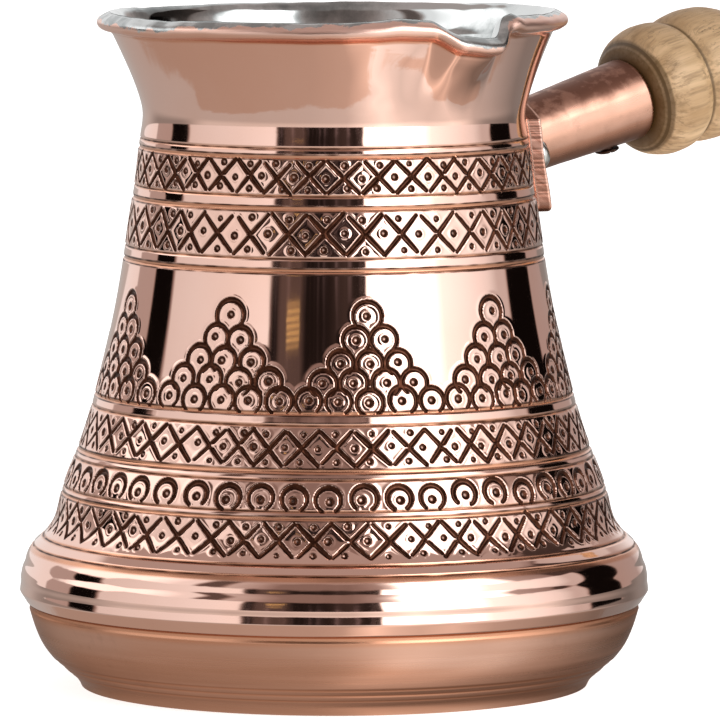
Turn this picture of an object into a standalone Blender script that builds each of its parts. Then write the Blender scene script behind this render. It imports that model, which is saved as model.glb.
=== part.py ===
"""Turkish coffee pot (cezve): a tinned copper pot with a pouring lip and a riveted wooden handle.

Frame: origin at the centre of the flat base, +Z up. The handle points along +X and the
pouring lip along -Y. Lengths are written in millimetres and scaled to metres by MM.
"""

import math

import bmesh
import bpy
from mathutils import Matrix, Vector

MM = 0.001
GAP = 0.3
MERGE = 0.00001

# Pot
WALL = 1.3
FLOOR = 1.6
TIN = 0.4
POT_SEGMENTS = 48
FOOT_RADIUS = 36.4
BULGE_RADIUS = 45.2
# (radius, height) of the outer wall, from under the lip down to the shoulder above the bulge
WALL_STATIONS = (
    (31.2, 92.4), (29.6, 89.0), (27.9, 84.6), (27.4, 82.2), (27.7, 79.2), (28.3, 74.0),
    (29.2, 68.2), (30.2, 61.5), (31.8, 52.5), (33.8, 44.0), (36.4, 35.2), (39.4, 26.8),
    (41.3, 22.2),
)
# (radius, height) of the everted lip, from its inner edge over the ridge to its underside
LIP_STATIONS = (
    (30.6, 93.8), (31.3, 95.7), (32.1, 96.4), (33.2, 95.9), (33.9, 95.0), (33.7, 94.2),
    (32.8, 93.7), (31.8, 93.2),
)
# (radius, height) of the bulge, the chamfer under it, the brushed base and the foot
BASE_STATIONS = (
    (42.7, 20.9), (44.2, 19.1), (45.0, 16.6), (BULGE_RADIUS, 13.8), (44.1, 12.0),
    (43.6, 10.6), (42.9, 8.2), (41.7, 5.6), (40.1, 3.8), (38.1, 2.1), (37.0, 1.3),
    (36.6, 0.4), (FOOT_RADIUS, 0.0),
)

# Inside of the copper: (radius, height) of the belly, from the floor's edge up
FLOOR_RADIUS = 34.0
BELLY_STATIONS = (
    (36.5, 2.6), (40.0, 5.2), (41.9, 8.6), (43.3, 12.4), (43.7, 15.4), (42.6, 18.6),
)

# Pouring lip, pinched out at -Y
SPOUT_HALF_ANGLE = math.radians(16.0)
SPOUT_START_HEIGHT = 83.0
SPOUT_FULL_HEIGHT = 95.0
SPOUT_REACH = 1.9
SPOUT_DIP = 2.6
TIN_SPOUT_SLACK = 0.4

# Handle axis, which leaves the bracket plate at HANDLE_START and rises outwards
HANDLE_START = Vector((31.0, 0.0, 76.25))
HANDLE_RISE = math.radians(13.7)
HANDLE_SEGMENTS = 32

# Bracket plate, bent round the neck
PLATE_THICKNESS = 2.2
PLATE_HALF_ANGLE = math.radians(24.0)
PLATE_BOTTOM = 67.2
PLATE_SIDE_TOP = 80.6
PLATE_ARCH = 3.6
PLATE_STAND_OFF = 0.7
PLATE_CORNER = 1.5
PLATE_COLUMNS = 16
PLATE_ROWS = 8

# Rivets through plate, wall and tin
RIVET_ANGLE = math.radians(18.3)
RIVET_HEIGHT = 75.0
RIVET_TILT = math.radians(7.0)
RIVET_SHANK = 1.2
RIVET_HEAD_RADIUS = 2.2
RIVET_HEAD_HEIGHT = 1.8
RIVET_TAIL_HEIGHT = 0.9
RIVET_SEGMENTS = 16

# Ferrule: a tapered tube brazed to the plate, with the handle's tenon inside
FERRULE_LENGTH = 24.5
FERRULE_ROOT_RADIUS = 5.25
FERRULE_END_RADIUS = 6.15
FERRULE_WALL = 1.0
BRAZE_WIDTH = 1.3
BRAZE_HEIGHT = 1.9

# Screw through the underside of the ferrule into the tenon
SCREW_POSITION = 19.0
SCREW_HEAD_RADIUS = 1.8
SCREW_HEAD_HEIGHT = 0.6
SCREW_SHANK = 0.9
SCREW_LENGTH = 6.0
SLOT_WIDTH = 0.5
SLOT_DEPTH = 0.35

# Turned wooden handle, (radius, distance along the handle axis), from the far end to the shoulder
TENON_START = 9.5
SHOULDER = FERRULE_LENGTH + GAP
WOOD_STATIONS = (
    (0.0, 134.6), (3.4, 134.1), (6.2, 132.6), (8.0, 129.8), (8.4, 126.6), (7.7, 123.4),
    (7.2, 121.0), (7.8, 117.6), (8.9, 110.0), (9.8, 100.0), (10.1, 88.0), (9.6, 74.0),
    (8.7, 60.0), (7.8, 50.0), (7.4, 46.0), (8.6, 43.6), (9.7, 40.4), (9.9, 37.4),
    (9.4, 34.8), (8.8, 33.8), (9.4, 32.8), (9.9, 30.4), (9.6, 28.0), (8.9, 26.4),
    (7.9, 25.4),
)

COPPER = (0.72, 0.36, 0.25, 1.0)
COPPER_BRUSHED = (0.62, 0.33, 0.24, 1.0)
TIN_GREY = (0.62, 0.62, 0.62, 1.0)
RIVET_SILVER = (0.72, 0.71, 0.68, 1.0)
BRAZE_COLOUR = (0.78, 0.52, 0.33, 1.0)
SCREW_DARK = (0.06, 0.05, 0.05, 1.0)
BEECH = (0.50, 0.32, 0.17, 1.0)


def clear_scene():
    for old in list(bpy.data.objects):
        bpy.data.objects.remove(old, do_unlink=True)


def new_collection(name):
    collection = bpy.data.collections.new(name)
    bpy.context.scene.collection.children.link(collection)
    return collection


def make_material(name, colour, roughness, metallic):
    material = bpy.data.materials.new(name)
    material.use_nodes = True
    shader = material.node_tree.nodes["Principled BSDF"]
    shader.inputs["Base Color"].default_value = colour
    shader.inputs["Roughness"].default_value = roughness
    shader.inputs["Metallic"].default_value = metallic
    return material


def wall_radius(height):
    """Outer radius of the pot's wall at a height, between the bulge and the lip."""
    for (upper_radius, upper), (lower_radius, lower) in zip(WALL_STATIONS, WALL_STATIONS[1:]):
        if lower <= height <= upper:
            share = (height - lower) / (upper - lower)
            return lower_radius + share * (upper_radius - lower_radius)
    raise ValueError("no wall at this height")


def inset(points, distance):
    """The points of a wall line moved towards the axis."""
    return [(radius - distance, height) for radius, height in points]


def object_from_mesh(name, mesh, collection, material=None):
    item = bpy.data.objects.new(name, mesh)
    collection.objects.link(item)
    if material:
        mesh.materials.append(material)
    return item


def turned(name, profile, segments, collection, material=None, closed=False):
    """A turned shape: the (radius, height) profile, top to bottom outside, about local Z."""
    mesh = bpy.data.meshes.new(name)
    count = len(profile)
    edges = [(i, i + 1) for i in range(count - 1)] + ([(count - 1, 0)] if closed else [])
    mesh.from_pydata([(p[0] * MM, 0.0, p[1] * MM) for p in profile], edges, [])
    item = object_from_mesh(name, mesh, collection, material)
    screw = item.modifiers.new("Turn", "SCREW")
    screw.axis = "Z"
    screw.angle = math.tau
    screw.steps = segments
    screw.render_steps = segments
    screw.use_merge_vertices = True
    screw.merge_threshold = MERGE
    screw.use_smooth_shade = True
    return item


def apply_modifiers(item):
    """Swap the object's mesh for its evaluated one, so that its vertices can be moved."""
    bpy.context.view_layer.update()
    evaluated = item.evaluated_get(bpy.context.evaluated_depsgraph_get())
    mesh = bpy.data.meshes.new_from_object(evaluated)
    item.modifiers.clear()
    item.data = mesh


def hide_cutter(item):
    item.hide_render = True
    item.display_type = "WIRE"


def cut(item, cutter):
    boolean = item.modifiers.new("Cut " + cutter.name, "BOOLEAN")
    boolean.operation = "DIFFERENCE"
    boolean.solver = "EXACT"
    boolean.object = cutter


def smooth_step(value, low, high):
    t = min(1.0, max(0.0, (value - low) / (high - low)))
    return t * t * (3 - 2 * t)


def pinch_spout(mesh, reach):
    """Push the wall and lip out and down round -Y, deepest on the spout's middle line."""
    for vertex in mesh.vertices:
        x, y, z = vertex.co
        radius = math.hypot(x, y)
        if radius < MERGE:
            continue
        turn = abs(math.atan2(x, -y))
        if turn >= SPOUT_HALF_ANGLE:
            continue
        share = math.cos(turn / SPOUT_HALF_ANGLE * math.pi / 2) ** 2
        rise = smooth_step(z / MM, SPOUT_START_HEIGHT, SPOUT_FULL_HEIGHT)
        push = 1 + reach * MM * share * rise / radius
        drop = SPOUT_DIP * MM * share * rise ** 2
        vertex.co = (x * push, y * push, z - drop)


def pot_profile():
    """The copper pot's section: up the inside from the floor, over the lip, down the outside."""
    inside = [(0.0, FLOOR), (FLOOR_RADIUS, FLOOR)] + list(BELLY_STATIONS)
    inside += inset(WALL_STATIONS, WALL)[::-1]
    outside = list(LIP_STATIONS) + list(WALL_STATIONS) + list(BASE_STATIONS)
    return inside + outside + [(0.0, 0.0)]


def tin_face(depth):
    """One face of the tin, from the floor to the rim, this deep inside the copper."""
    floor = [(0.0, FLOOR + depth), (FLOOR_RADIUS - depth, FLOOR + depth)]
    first_radius, first_height = BELLY_STATIONS[0]
    corner = [(first_radius - depth, first_height + depth)]
    wall = inset(BELLY_STATIONS[1:], depth) + inset(WALL_STATIONS, WALL + depth)[::-1]
    return floor + corner + wall


def tin_profile():
    """The tin's section: up its inner face, over its edge at the rim, down its outer face."""
    edge_radius, edge_height = LIP_STATIONS[0]
    edge = [(edge_radius - GAP - TIN, edge_height + 1.0), (edge_radius - GAP, edge_height + 0.9)]
    return tin_face(GAP + TIN) + edge + tin_face(GAP)[::-1]


def make_pot(parts, copper, tin):
    """The copper pot and the tin inside it, both turned and then pinched at the spout."""
    pot = turned("vessel_body", pot_profile(), POT_SEGMENTS, parts, copper)
    lining = turned("tin_lining", tin_profile(), POT_SEGMENTS, parts, tin)
    for item, reach in ((pot, SPOUT_REACH), (lining, SPOUT_REACH - TIN_SPOUT_SLACK)):
        apply_modifiers(item)
        pinch_spout(item.data, reach)
    return pot, lining


def bent_plate(name, arch, inset_depth, thickness, collection, material=None):
    """A sheet bent round the neck, with a top that rises by arch and round lower corners.

    Its inner face stands off the wall by GAP in the middle and more towards its sides, less
    inset_depth, and its thickness grows outwards from there.
    """
    half_width = PLATE_HALF_ANGLE * wall_radius(RIVET_HEIGHT)
    shell = bmesh.new()
    bmesh.ops.create_grid(
        shell, x_segments=PLATE_COLUMNS, y_segments=PLATE_ROWS, size=1.0, matrix=Matrix()
    )
    for vertex in shell.verts:
        across, up = vertex.co.x, (vertex.co.y + 1) / 2
        from_corner = max(0.0, abs(across) * half_width - (half_width - PLATE_CORNER))
        corner = PLATE_CORNER - math.sqrt(PLATE_CORNER ** 2 - from_corner ** 2)
        bottom = PLATE_BOTTOM + corner
        top = PLATE_SIDE_TOP + arch * math.cos(across * math.pi / 2) ** 0.8
        height = bottom + up * (top - bottom)
        angle = across * PLATE_HALF_ANGLE
        radius = wall_radius(height) + GAP + plate_stand_off(angle) - inset_depth
        vertex.co = Vector((radius * math.cos(angle), radius * math.sin(angle), height)) * MM
    mesh = bpy.data.meshes.new(name)
    shell.to_mesh(mesh)
    shell.free()
    if mesh.polygons[0].normal.x < 0:
        mesh.flip_normals()
    plate = object_from_mesh(name, mesh, collection, material)
    thick = plate.modifiers.new("Thickness", "SOLIDIFY")
    thick.thickness = thickness * MM
    thick.offset = 1.0
    thick.use_even_offset = True
    return plate


def plate_stand_off(angle):
    """How much further the plate's flatter bend leaves the wall, at an angle from its middle."""
    return PLATE_STAND_OFF * (angle / PLATE_HALF_ANGLE) ** 2


def make_plate_clearance(cutters):
    """The plate grown by GAP outwards and far inwards, which trims what is brazed to it."""
    reach = 6.0
    arch = 2 * PLATE_ARCH
    depth = reach + PLATE_THICKNESS + GAP
    cutter = bent_plate("plate_clearance", arch, reach, depth, cutters)
    hide_cutter(cutter)
    return cutter


def rivet_matrix(side):
    """Place a rivet on the wall: its local Z leaves the wall, and 0 is the wall's outer face."""
    angle = side * RIVET_ANGLE
    radius = wall_radius(RIVET_HEIGHT)
    place = Vector((radius * math.cos(angle), radius * math.sin(angle), RIVET_HEIGHT)) * MM
    turn = Matrix.Rotation(angle, 4, "Z") @ Matrix.Rotation(math.pi / 2 - RIVET_TILT, 4, "Y")
    return Matrix.Translation(place) @ turn


def make_rivet(name, side, parts, cutters, material):
    """A rivet with a domed head outside and a flatter tail inside, and its hole's cutter."""
    head = PLATE_THICKNESS + plate_stand_off(RIVET_ANGLE) + 2 * GAP + 0.1
    tail = -(WALL + 2 * GAP + TIN + 0.1)
    arc = [i / 5 * math.pi / 2 for i in range(6)]
    profile = [
        (RIVET_HEAD_RADIUS * math.sin(a), head + RIVET_HEAD_HEIGHT * math.cos(a)) for a in arc
    ]
    profile += [(RIVET_SHANK, head), (RIVET_SHANK, tail)]
    profile += [
        (RIVET_HEAD_RADIUS * math.cos(a), tail - RIVET_TAIL_HEIGHT * math.sin(a)) for a in arc
    ]
    profile[0] = (0.0, profile[0][1])
    profile[-1] = (0.0, profile[-1][1])
    rivet = turned(name, profile, RIVET_SEGMENTS, parts, material)
    rivet.matrix_world = rivet_matrix(side)

    hole_radius = RIVET_SHANK + GAP
    hole_profile = [(0.0, 8.0), (hole_radius, 8.0), (hole_radius, -8.0), (0.0, -8.0)]
    hole = turned(name + "_hole", hole_profile, RIVET_SEGMENTS, cutters)
    hole.matrix_world = rivet_matrix(side)
    hide_cutter(hole)
    return hole


def ferrule_radius(distance):
    share = distance / FERRULE_LENGTH
    return FERRULE_ROOT_RADIUS + share * (FERRULE_END_RADIUS - FERRULE_ROOT_RADIUS)


def tenon_radius(distance):
    return ferrule_radius(distance) - FERRULE_WALL - GAP


def on_handle(item, axis):
    item.parent = axis
    return item


def make_ferrule(parts, material, axis, clearance):
    start = -3.0
    end = FERRULE_LENGTH
    rounding = 0.3
    profile = [
        (ferrule_radius(end) - rounding, end),
        (ferrule_radius(end), end - rounding),
        (ferrule_radius(start), start),
        (ferrule_radius(start) - FERRULE_WALL, start),
        (ferrule_radius(end) - FERRULE_WALL, end),
    ]
    ferrule = turned("handle_ferrule", profile, HANDLE_SEGMENTS, parts, material, closed=True)
    on_handle(ferrule, axis)
    cut(ferrule, clearance)
    return ferrule


def make_braze(parts, material, axis, clearance):
    """The fillet of brazing metal round the ferrule's root."""
    start = -3.0
    top = BRAZE_HEIGHT
    profile = [
        (ferrule_radius(top) + GAP + 0.15, top),
        (ferrule_radius(0.9) + GAP + 0.4, 0.9),
        (ferrule_radius(0.0) + GAP + BRAZE_WIDTH, 0.0),
        (ferrule_radius(0.0) + GAP + BRAZE_WIDTH, start),
        (ferrule_radius(start) + GAP, start),
        (ferrule_radius(top) + GAP, top),
    ]
    braze = turned("braze_fillet", profile, HANDLE_SEGMENTS, parts, material, closed=True)
    on_handle(braze, axis)
    cut(braze, clearance)
    return braze


def make_handle(parts, material, axis):
    """The turned wooden handle with its tapered tenon."""
    tenon = [(tenon_radius(z), z) for z in (SHOULDER, TENON_START + 1.0)]
    profile = list(WOOD_STATIONS) + [(ferrule_radius(FERRULE_LENGTH), SHOULDER)] + tenon
    profile += [(tenon_radius(TENON_START) - 0.8, TENON_START), (0.0, TENON_START)]
    handle = turned("wooden_handle", profile, HANDLE_SEGMENTS, parts, material)
    return on_handle(handle, axis)


def screw_matrix(distance_out):
    """Local Z of the screw points down out of the ferrule, across the handle axis."""
    place = Vector((distance_out, 0.0, SCREW_POSITION)) * MM
    return Matrix.Translation(place) @ Matrix.Rotation(math.pi / 2, 4, "Y")


def make_screw(parts, cutters, material, axis):
    """A slotted pan-head screw, and the hole it goes through."""
    seat = ferrule_radius(SCREW_POSITION) + GAP
    top = SCREW_HEAD_HEIGHT
    profile = [
        (0.0, top), (SCREW_HEAD_RADIUS * 0.6, top), (SCREW_HEAD_RADIUS * 0.9, top * 0.75),
        (SCREW_HEAD_RADIUS, top * 0.4), (SCREW_HEAD_RADIUS, 0.0), (SCREW_SHANK, 0.0),
        (SCREW_SHANK, 1.2 - SCREW_LENGTH), (0.0, -SCREW_LENGTH),
    ]
    screw = turned("handle_screw", profile, 20, parts, material)
    screw.matrix_local = screw_matrix(seat)
    on_handle(screw, axis)

    bpy.ops.mesh.primitive_cube_add(size=1.0)
    slot = bpy.context.object
    slot.name = "screw_slot"
    for collection in list(slot.users_collection):
        collection.objects.unlink(slot)
    cutters.objects.link(slot)
    width, length, depth = SLOT_WIDTH, 2.4 * SCREW_HEAD_RADIUS, 2 * SLOT_DEPTH
    slot.data.transform(Matrix.Diagonal((width * MM, length * MM, depth * MM, 1.0)))
    slot.matrix_local = screw_matrix(seat + top)
    on_handle(slot, axis)
    hide_cutter(slot)
    cut(screw, slot)

    hole_radius = SCREW_SHANK + GAP
    depth = -SCREW_LENGTH - GAP
    hole_profile = [(0.0, 1.0), (hole_radius, 1.0), (hole_radius, depth), (0.0, depth)]
    hole = turned("screw_hole", hole_profile, 20, cutters)
    hole.matrix_local = screw_matrix(seat)
    on_handle(hole, axis)
    hide_cutter(hole)
    return hole


def make_handle_axis(collection):
    axis = bpy.data.objects.new("handle_axis", None)
    collection.objects.link(axis)
    axis.location = HANDLE_START * MM
    axis.rotation_euler = (0.0, math.pi / 2 - HANDLE_RISE, 0.0)
    axis.empty_display_size = 10 * MM
    return axis


def shade(item):
    item.data.shade_smooth()
    item.data.set_sharp_from_angle(angle=math.radians(32.0))


def main():
    clear_scene()
    parts = new_collection("cezve")
    cutters = new_collection("cutters")

    copper = make_material("polished copper", COPPER, 0.12, 1.0)
    brushed = make_material("brushed copper", COPPER_BRUSHED, 0.32, 1.0)
    tin = make_material("tin", TIN_GREY, 0.22, 1.0)
    silver = make_material("white rivet metal", RIVET_SILVER, 0.25, 1.0)
    braze_metal = make_material("braze", BRAZE_COLOUR, 0.35, 1.0)
    steel = make_material("dark screw", SCREW_DARK, 0.4, 1.0)
    beech = make_material("beech", BEECH, 0.5, 0.0)

    pot, lining = make_pot(parts, copper, tin)
    plate = bent_plate("bracket_plate", PLATE_ARCH, 0.0, PLATE_THICKNESS, parts, brushed)
    for name, side in (("rivet_left", 1), ("rivet_right", -1)):
        hole = make_rivet(name, side, parts, cutters, silver)
        for item in (pot, lining, plate):
            cut(item, hole)

    axis = make_handle_axis(parts)
    clearance = make_plate_clearance(cutters)
    ferrule = make_ferrule(parts, brushed, axis, clearance)
    make_braze(parts, braze_metal, axis, clearance)
    handle = make_handle(parts, beech, axis)
    screw_hole = make_screw(parts, cutters, steel, axis)
    cut(ferrule, screw_hole)
    cut(handle, screw_hole)

    for item in parts.objects:
        if item.type == "MESH":
            shade(item)


main()
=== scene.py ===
"""Looks of the tinned copper cezve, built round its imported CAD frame.

Axes are the frame's: origin at the centre of the flat base, +Z up, handle along +X and pouring
lip along -Y. Lengths are in millimetres and scaled to metres by MM when a mesh is made.
"""

import math

import bpy
import numpy as np
from mathutils import Matrix, Vector


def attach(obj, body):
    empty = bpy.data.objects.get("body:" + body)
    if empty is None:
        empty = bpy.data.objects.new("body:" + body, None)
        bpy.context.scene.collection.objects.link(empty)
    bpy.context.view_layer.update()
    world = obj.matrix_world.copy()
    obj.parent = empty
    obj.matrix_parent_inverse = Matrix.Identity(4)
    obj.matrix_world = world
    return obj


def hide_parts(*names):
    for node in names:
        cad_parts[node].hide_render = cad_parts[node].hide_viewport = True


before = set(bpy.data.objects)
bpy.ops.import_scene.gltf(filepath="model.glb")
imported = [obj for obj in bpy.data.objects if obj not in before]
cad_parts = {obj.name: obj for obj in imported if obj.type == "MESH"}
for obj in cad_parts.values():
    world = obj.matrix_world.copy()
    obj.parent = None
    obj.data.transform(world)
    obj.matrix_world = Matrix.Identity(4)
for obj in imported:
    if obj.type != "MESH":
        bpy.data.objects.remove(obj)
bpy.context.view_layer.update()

MM = 0.001
RANDOM = np.random.default_rng(1907)

# Pot, as in the CAD: (height, radius) of the outer wall from the shoulder of the bulge up
WALL_STATIONS = (
    (20.9, 42.7), (22.2, 41.3), (26.8, 39.4), (35.2, 36.4), (44.0, 33.8), (52.5, 31.8),
    (61.5, 30.2), (68.2, 29.2), (74.0, 28.3), (79.2, 27.7), (82.2, 27.4), (84.6, 27.9),
    (89.0, 29.6), (92.4, 31.2),
)
# (radius, height) of the rolled lip, from under it over the ridge to its inner edge
LIP_STATIONS = (
    (31.2, 92.4), (31.5, 93.0), (31.75, 93.45), (32.05, 93.72), (32.6, 93.86), (33.25, 94.08),
    (33.7, 94.45), (33.9, 95.0), (33.65, 95.6), (33.0, 96.05), (32.1, 96.4), (31.4, 96.0),
    (30.9, 95.0), (30.4, 93.8),
)
UNDER_LIP = 93.62
NECK_TOP = 92.4
NECK_BACK_TOP = 92.6
NECK_BOTTOM = 77.35
NECK_COLUMNS = 960
NECK_GROOVES_BELOW = 80.0
WALL_BOTTOM = 21.6
BULGE_TOP = 20.9
BULGE_BOTTOM = 13.7
BULGE_STEP = 0.12
# (height, radius) of the bulge, then (radius, height) of its chamfer and of the base below it
BULGE_STATIONS = (
    (13.7, 45.18), (14.3, 45.11), (14.8, 45.04), (15.1, 45.03), (15.7, 45.03), (16.2, 44.95),
    (17.0, 44.77), (17.35, 44.63), (17.65, 44.49), (18.2, 44.33), (18.9, 44.13), (19.25, 43.98),
    (19.6, 43.78), (20.1, 43.43), (20.6, 43.03), (20.9, 42.70),
)
CHAMFER = ((45.18, 13.7), (45.08, 13.5), (44.6, 12.75), (44.2, 12.12), (44.05, 12.0))
RECESS = ((44.05, 12.0), (43.75, 11.75), (43.72, 11.35), (43.8, 11.0))
BOWL_STATIONS = ((43.8, 11.0), (43.45, 9.8), (42.8, 7.9), (41.7, 5.7), (40.35, 4.0))
FOOT_STATIONS = ((40.35, 4.0), (39.5, 3.35), (38.5, 2.4), (37.4, 1.5), (36.75, 0.7), (36.4, 0.0))
# Grooves round the foot: (height, half width, depth)
FOOT_GROOVES = ((3.95, 0.32, 0.10), (3.1, 0.25, 0.07), (2.2, 0.22, 0.06))
BASE_INSIDE = ((42.9, 12.0), (42.5, 11.0), (41.6, 7.9), (39.6, 4.6), (36.0, 1.6), (1.0, 1.6))
WALL = 1.3
# Room between the back of a ring of the wall and the lining
BACK_GAP = 0.1

# Tin lining: its depth under the copper's outer face, and the line of its inner face
TIN_DEPTH = 2.0
TIN_THICKNESS = 0.35
TIN_COLUMNS = 720
TIN_TOP = 92.0
TIN_EDGE = ((29.9, 93.4), (30.55, 95.0), (31.3, 96.1), (32.0, 96.46))
TIN_CORNER = (36.4, 2.9)
BELLY_TOP = 20.4
# Millimetres that the tin runs past the ridge of the lip, and over which it fades out
TIN_PAST_RIDGE = 1.0
TIN_FADE = 5.0
TIN_PAST_SPOUT = 1.3
# Where the tin was wiped furthest over the lip, as (turn from the spout, turns wide, millimetres)
TIN_PAST_SIDE = (-95.0, 32.0, 1.5)
BELLY_STATIONS = ((36.0, 3.0), (39.5, 5.6), (41.3, 8.8), (42.6, 12.4), (43.0, 15.4), (41.9, 18.6))
FLOOR_TOP = 2.3
FLOOR_RADIUS = 33.3

# Turned mouldings between the chased bands: (height, half width, depth)
MOULDINGS = (
    (78.65, 0.26, 0.12), (77.42, 0.40, 0.16),
    (72.00, 0.24, 0.13), (70.25, 0.46, 0.18),
    (63.35, 0.24, 0.13), (61.60, 0.48, 0.18),
    (42.05, 0.36, 0.16), (40.45, 0.28, 0.15),
    (34.20, 0.46, 0.17), (33.05, 0.26, 0.14),
    (28.85, 0.26, 0.14), (27.85, 0.36, 0.16),
    (21.65, 0.30, 0.16), (20.30, 0.24, 0.13),
)
# In a moulding wider than this the patina lies along its edges, at this share of its width
WIDE_MOULDING = 0.35
WIDE_MOULDING_EDGE = 0.85
PATINA_REACH = 0.20
# Chased bands of crossed strokes: (lowest, highest, cells round the pot, turn of the first cell)
DIAMOND_BANDS = {
    "chased_diamonds_neck": (72.25, 77.05, 37, -130.2),
    "chased_diamonds_throat": (63.7, 69.6, 36, -125.0),
    "chased_diamonds_waist": (34.75, 40.0, 46, -131.4),
    "chased_diamonds_foot": (22.2, 27.55, 48, -128.6),
}
UNEVEN_DIAMONDS = 0.14
UNEVEN_HORSESHOES = 0.08
# A stroke's width at its ends, and how much wider it is in its middle
STROKE_END = 0.86
STROKE_SWELL = 0.22
STROKE_HALF_WIDTH = 0.41
SCALE_HALF_WIDTH = 0.37
CUT_DEPTH = 0.27
BURR_HEIGHT = 0.06
BURR_WIDTH = 0.30
# Where two strokes cross they are shallower, over this width
CROSSING_WIDTH = 0.34
CROSSING_RISE = 0.28
DOT_RADIUS = 0.60
DOT_DEPTH = 0.26
EDGE_DOTS = 0.75
EDGE_DOT_DEPTH = 0.24
EYE_RADIUS = 0.72
EYE_DEPTH = 0.28
PUNCH_SLIP = 0.1
PUNCH_TIP = 0.10

HORSESHOES = 48
HORSESHOE_TURN = -129.2
HORSESHOE_HEIGHT = 30.65
HORSESHOE_RADIUS = 1.74
EYE_DROP = 0.25

# Turns of the ten pyramids of scales, and the heights of their rows from the peak down
PYRAMID_TURNS = (-195.2, -155.9, -119.3, -82.8, -48.0, -12.0, 24.0, 60.0, 96.0, 130.5)
PYRAMID_ROWS = (55.4, 52.15, 49.05, 46.3, 43.75)
PYRAMID_PITCHES = (1.0, 0.86, 0.98, 1.03, 1.0)
SCALES_BELOW = 5
SCALE_RADIUS = 1.86
PEAK_SIZE = 1.08
OPEN_ANGLE = math.radians(74.0)

# Rings of the chased wall: (name, top, bottom)
WALL_RINGS = (
    ("chased_diamonds_neck", NECK_BOTTOM, 70.2),
    ("chased_diamonds_throat", 70.2, 61.5),
    ("chased_scales_upper", 61.5, 51.2),
    ("chased_scales_lower", 51.2, 42.0),
    ("chased_diamonds_waist", 42.0, 34.1),
    ("chased_horseshoes", 34.1, 28.65),
    ("chased_diamonds_foot", 28.65, WALL_BOTTOM),
)

# Meshes: points round the pot, distance between rows, points of a curve before it is cut evenly
COLUMNS = 1440
ROW_STEP = 0.15
FINE_POINTS = 400
MARKS = ("patina", "groove", "tinned")
NO_MARKS = (0.0, 0.0, 0.0)
# Margins round each fold of a UV strip, as shares of its height and of its width
FOLD_MARGIN = 0.04
SIDE_MARGIN = 0.004

# Pouring lip: its middle turn, and the turns from it where the rim falls away and comes back
SPOUT_TURN = -90.0
SPOUT_FALL = (-13.5, -5.5)
SPOUT_SETTLE = (-7.0, 2.0)
SPOUT_RISE = (3.2, 10.4)
SPOUT_DIP = 2.6
SPOUT_REACH = 1.9
# Dents hammered in beside it: (turn from its middle, height, turns wide, height tall, depth out)
NECK_DENTS = (
    (-14.0, 88.2, 5.0, 3.4, -0.34), (-21.0, 86.4, 6.0, 2.0, 0.13), (-4.0, 87.6, 4.2, 3.0, 0.30),
    (-30.0, 89.5, 6.0, 2.6, 0.10), (-9.0, 84.6, 5.0, 1.3, -0.10), (4.5, 88.4, 2.4, 3.6, -0.22),
    (-24.0, 84.9, 3.0, 1.0, -0.07), (-17.0, 91.5, 3.6, 1.5, 0.12),
)

# Handle, as in the CAD
HANDLE_START = Vector((31.0, 0.0, 76.25))
HANDLE_RISE = math.radians(13.7)
PLATE_GAP = 0.3
PLATE_THICKNESS = 2.2
PLATE_HALF_ANGLE = math.radians(24.0)
PLATE_BOTTOM = 67.2
PLATE_SIDE_TOP = 80.6
PLATE_ARCH = 3.6
PLATE_STAND_OFF = 0.7
PLATE_CORNER = 1.5
PLATE_ARCH_FULLNESS = 0.8
PLATE_INSET = 0.985
# The rounded edge of the plate from front to back: (share of the way back, share of the inset)
PLATE_EDGE = (
    (0.0, 0.0), (0.03, 0.55), (0.09, 0.9), (0.2, 1.0), (0.35, 1.0), (0.5, 1.0), (0.65, 1.0),
    (0.8, 1.0), (0.91, 0.9), (0.97, 0.55), (1.0, 0.0),
)
SHEAR_MARKS = 90
RIVET_ANGLE = math.radians(18.3)
RIVET_HEIGHT = 75.0
RIVET_TILT = math.radians(7.0)
RIVET_SHANK = 1.2
RIVET_HEAD = (2.2, 1.8)
RIVET_TAIL = 0.9
RIVET_SEAT = 0.4
RIVET_REACH = 1.1
FERRULE_LENGTH = 24.5
FERRULE_RADII = (5.25, 6.15)
FERRULE_WALL = 1.0
TUBE_COLUMNS = 240
TUBE_ROLL = 0.45
BRAZE_GAP = 0.06
BRAZE_SPREAD = 1.45
BRAZE_CLIMB = 1.75
BRAZE_SINK = 0.15
SCREW_POSITION = 19.0
SCREW_HEAD = (1.8, 0.6)
SCREW_SLOT = 0.34
TENON_START = 9.5
TENON_GAP = 0.3
SHOULDER = 24.8
# Radius at which a turned piece is closed on its axis
POLE = 0.25
# (distance along the handle, radius) of the wood, with the groove between its two beads
WOOD_STATIONS = (
    (25.4, 7.9), (26.4, 8.9), (28.0, 9.6), (30.4, 9.9), (32.8, 9.4), (33.8, 8.8),
    (34.8, 9.4), (37.4, 9.9), (40.4, 9.7), (43.6, 8.6), (46.0, 7.4), (50.0, 7.8),
    (60.0, 8.7), (74.0, 9.6), (88.0, 10.1), (100.0, 9.8), (110.0, 8.9), (117.6, 7.8),
    (121.0, 7.2), (123.4, 7.7), (126.6, 8.4), (129.8, 8.0), (132.6, 6.2), (134.1, 3.4),
)
WOOD_GROOVE = (8.8, 33.8)

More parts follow.
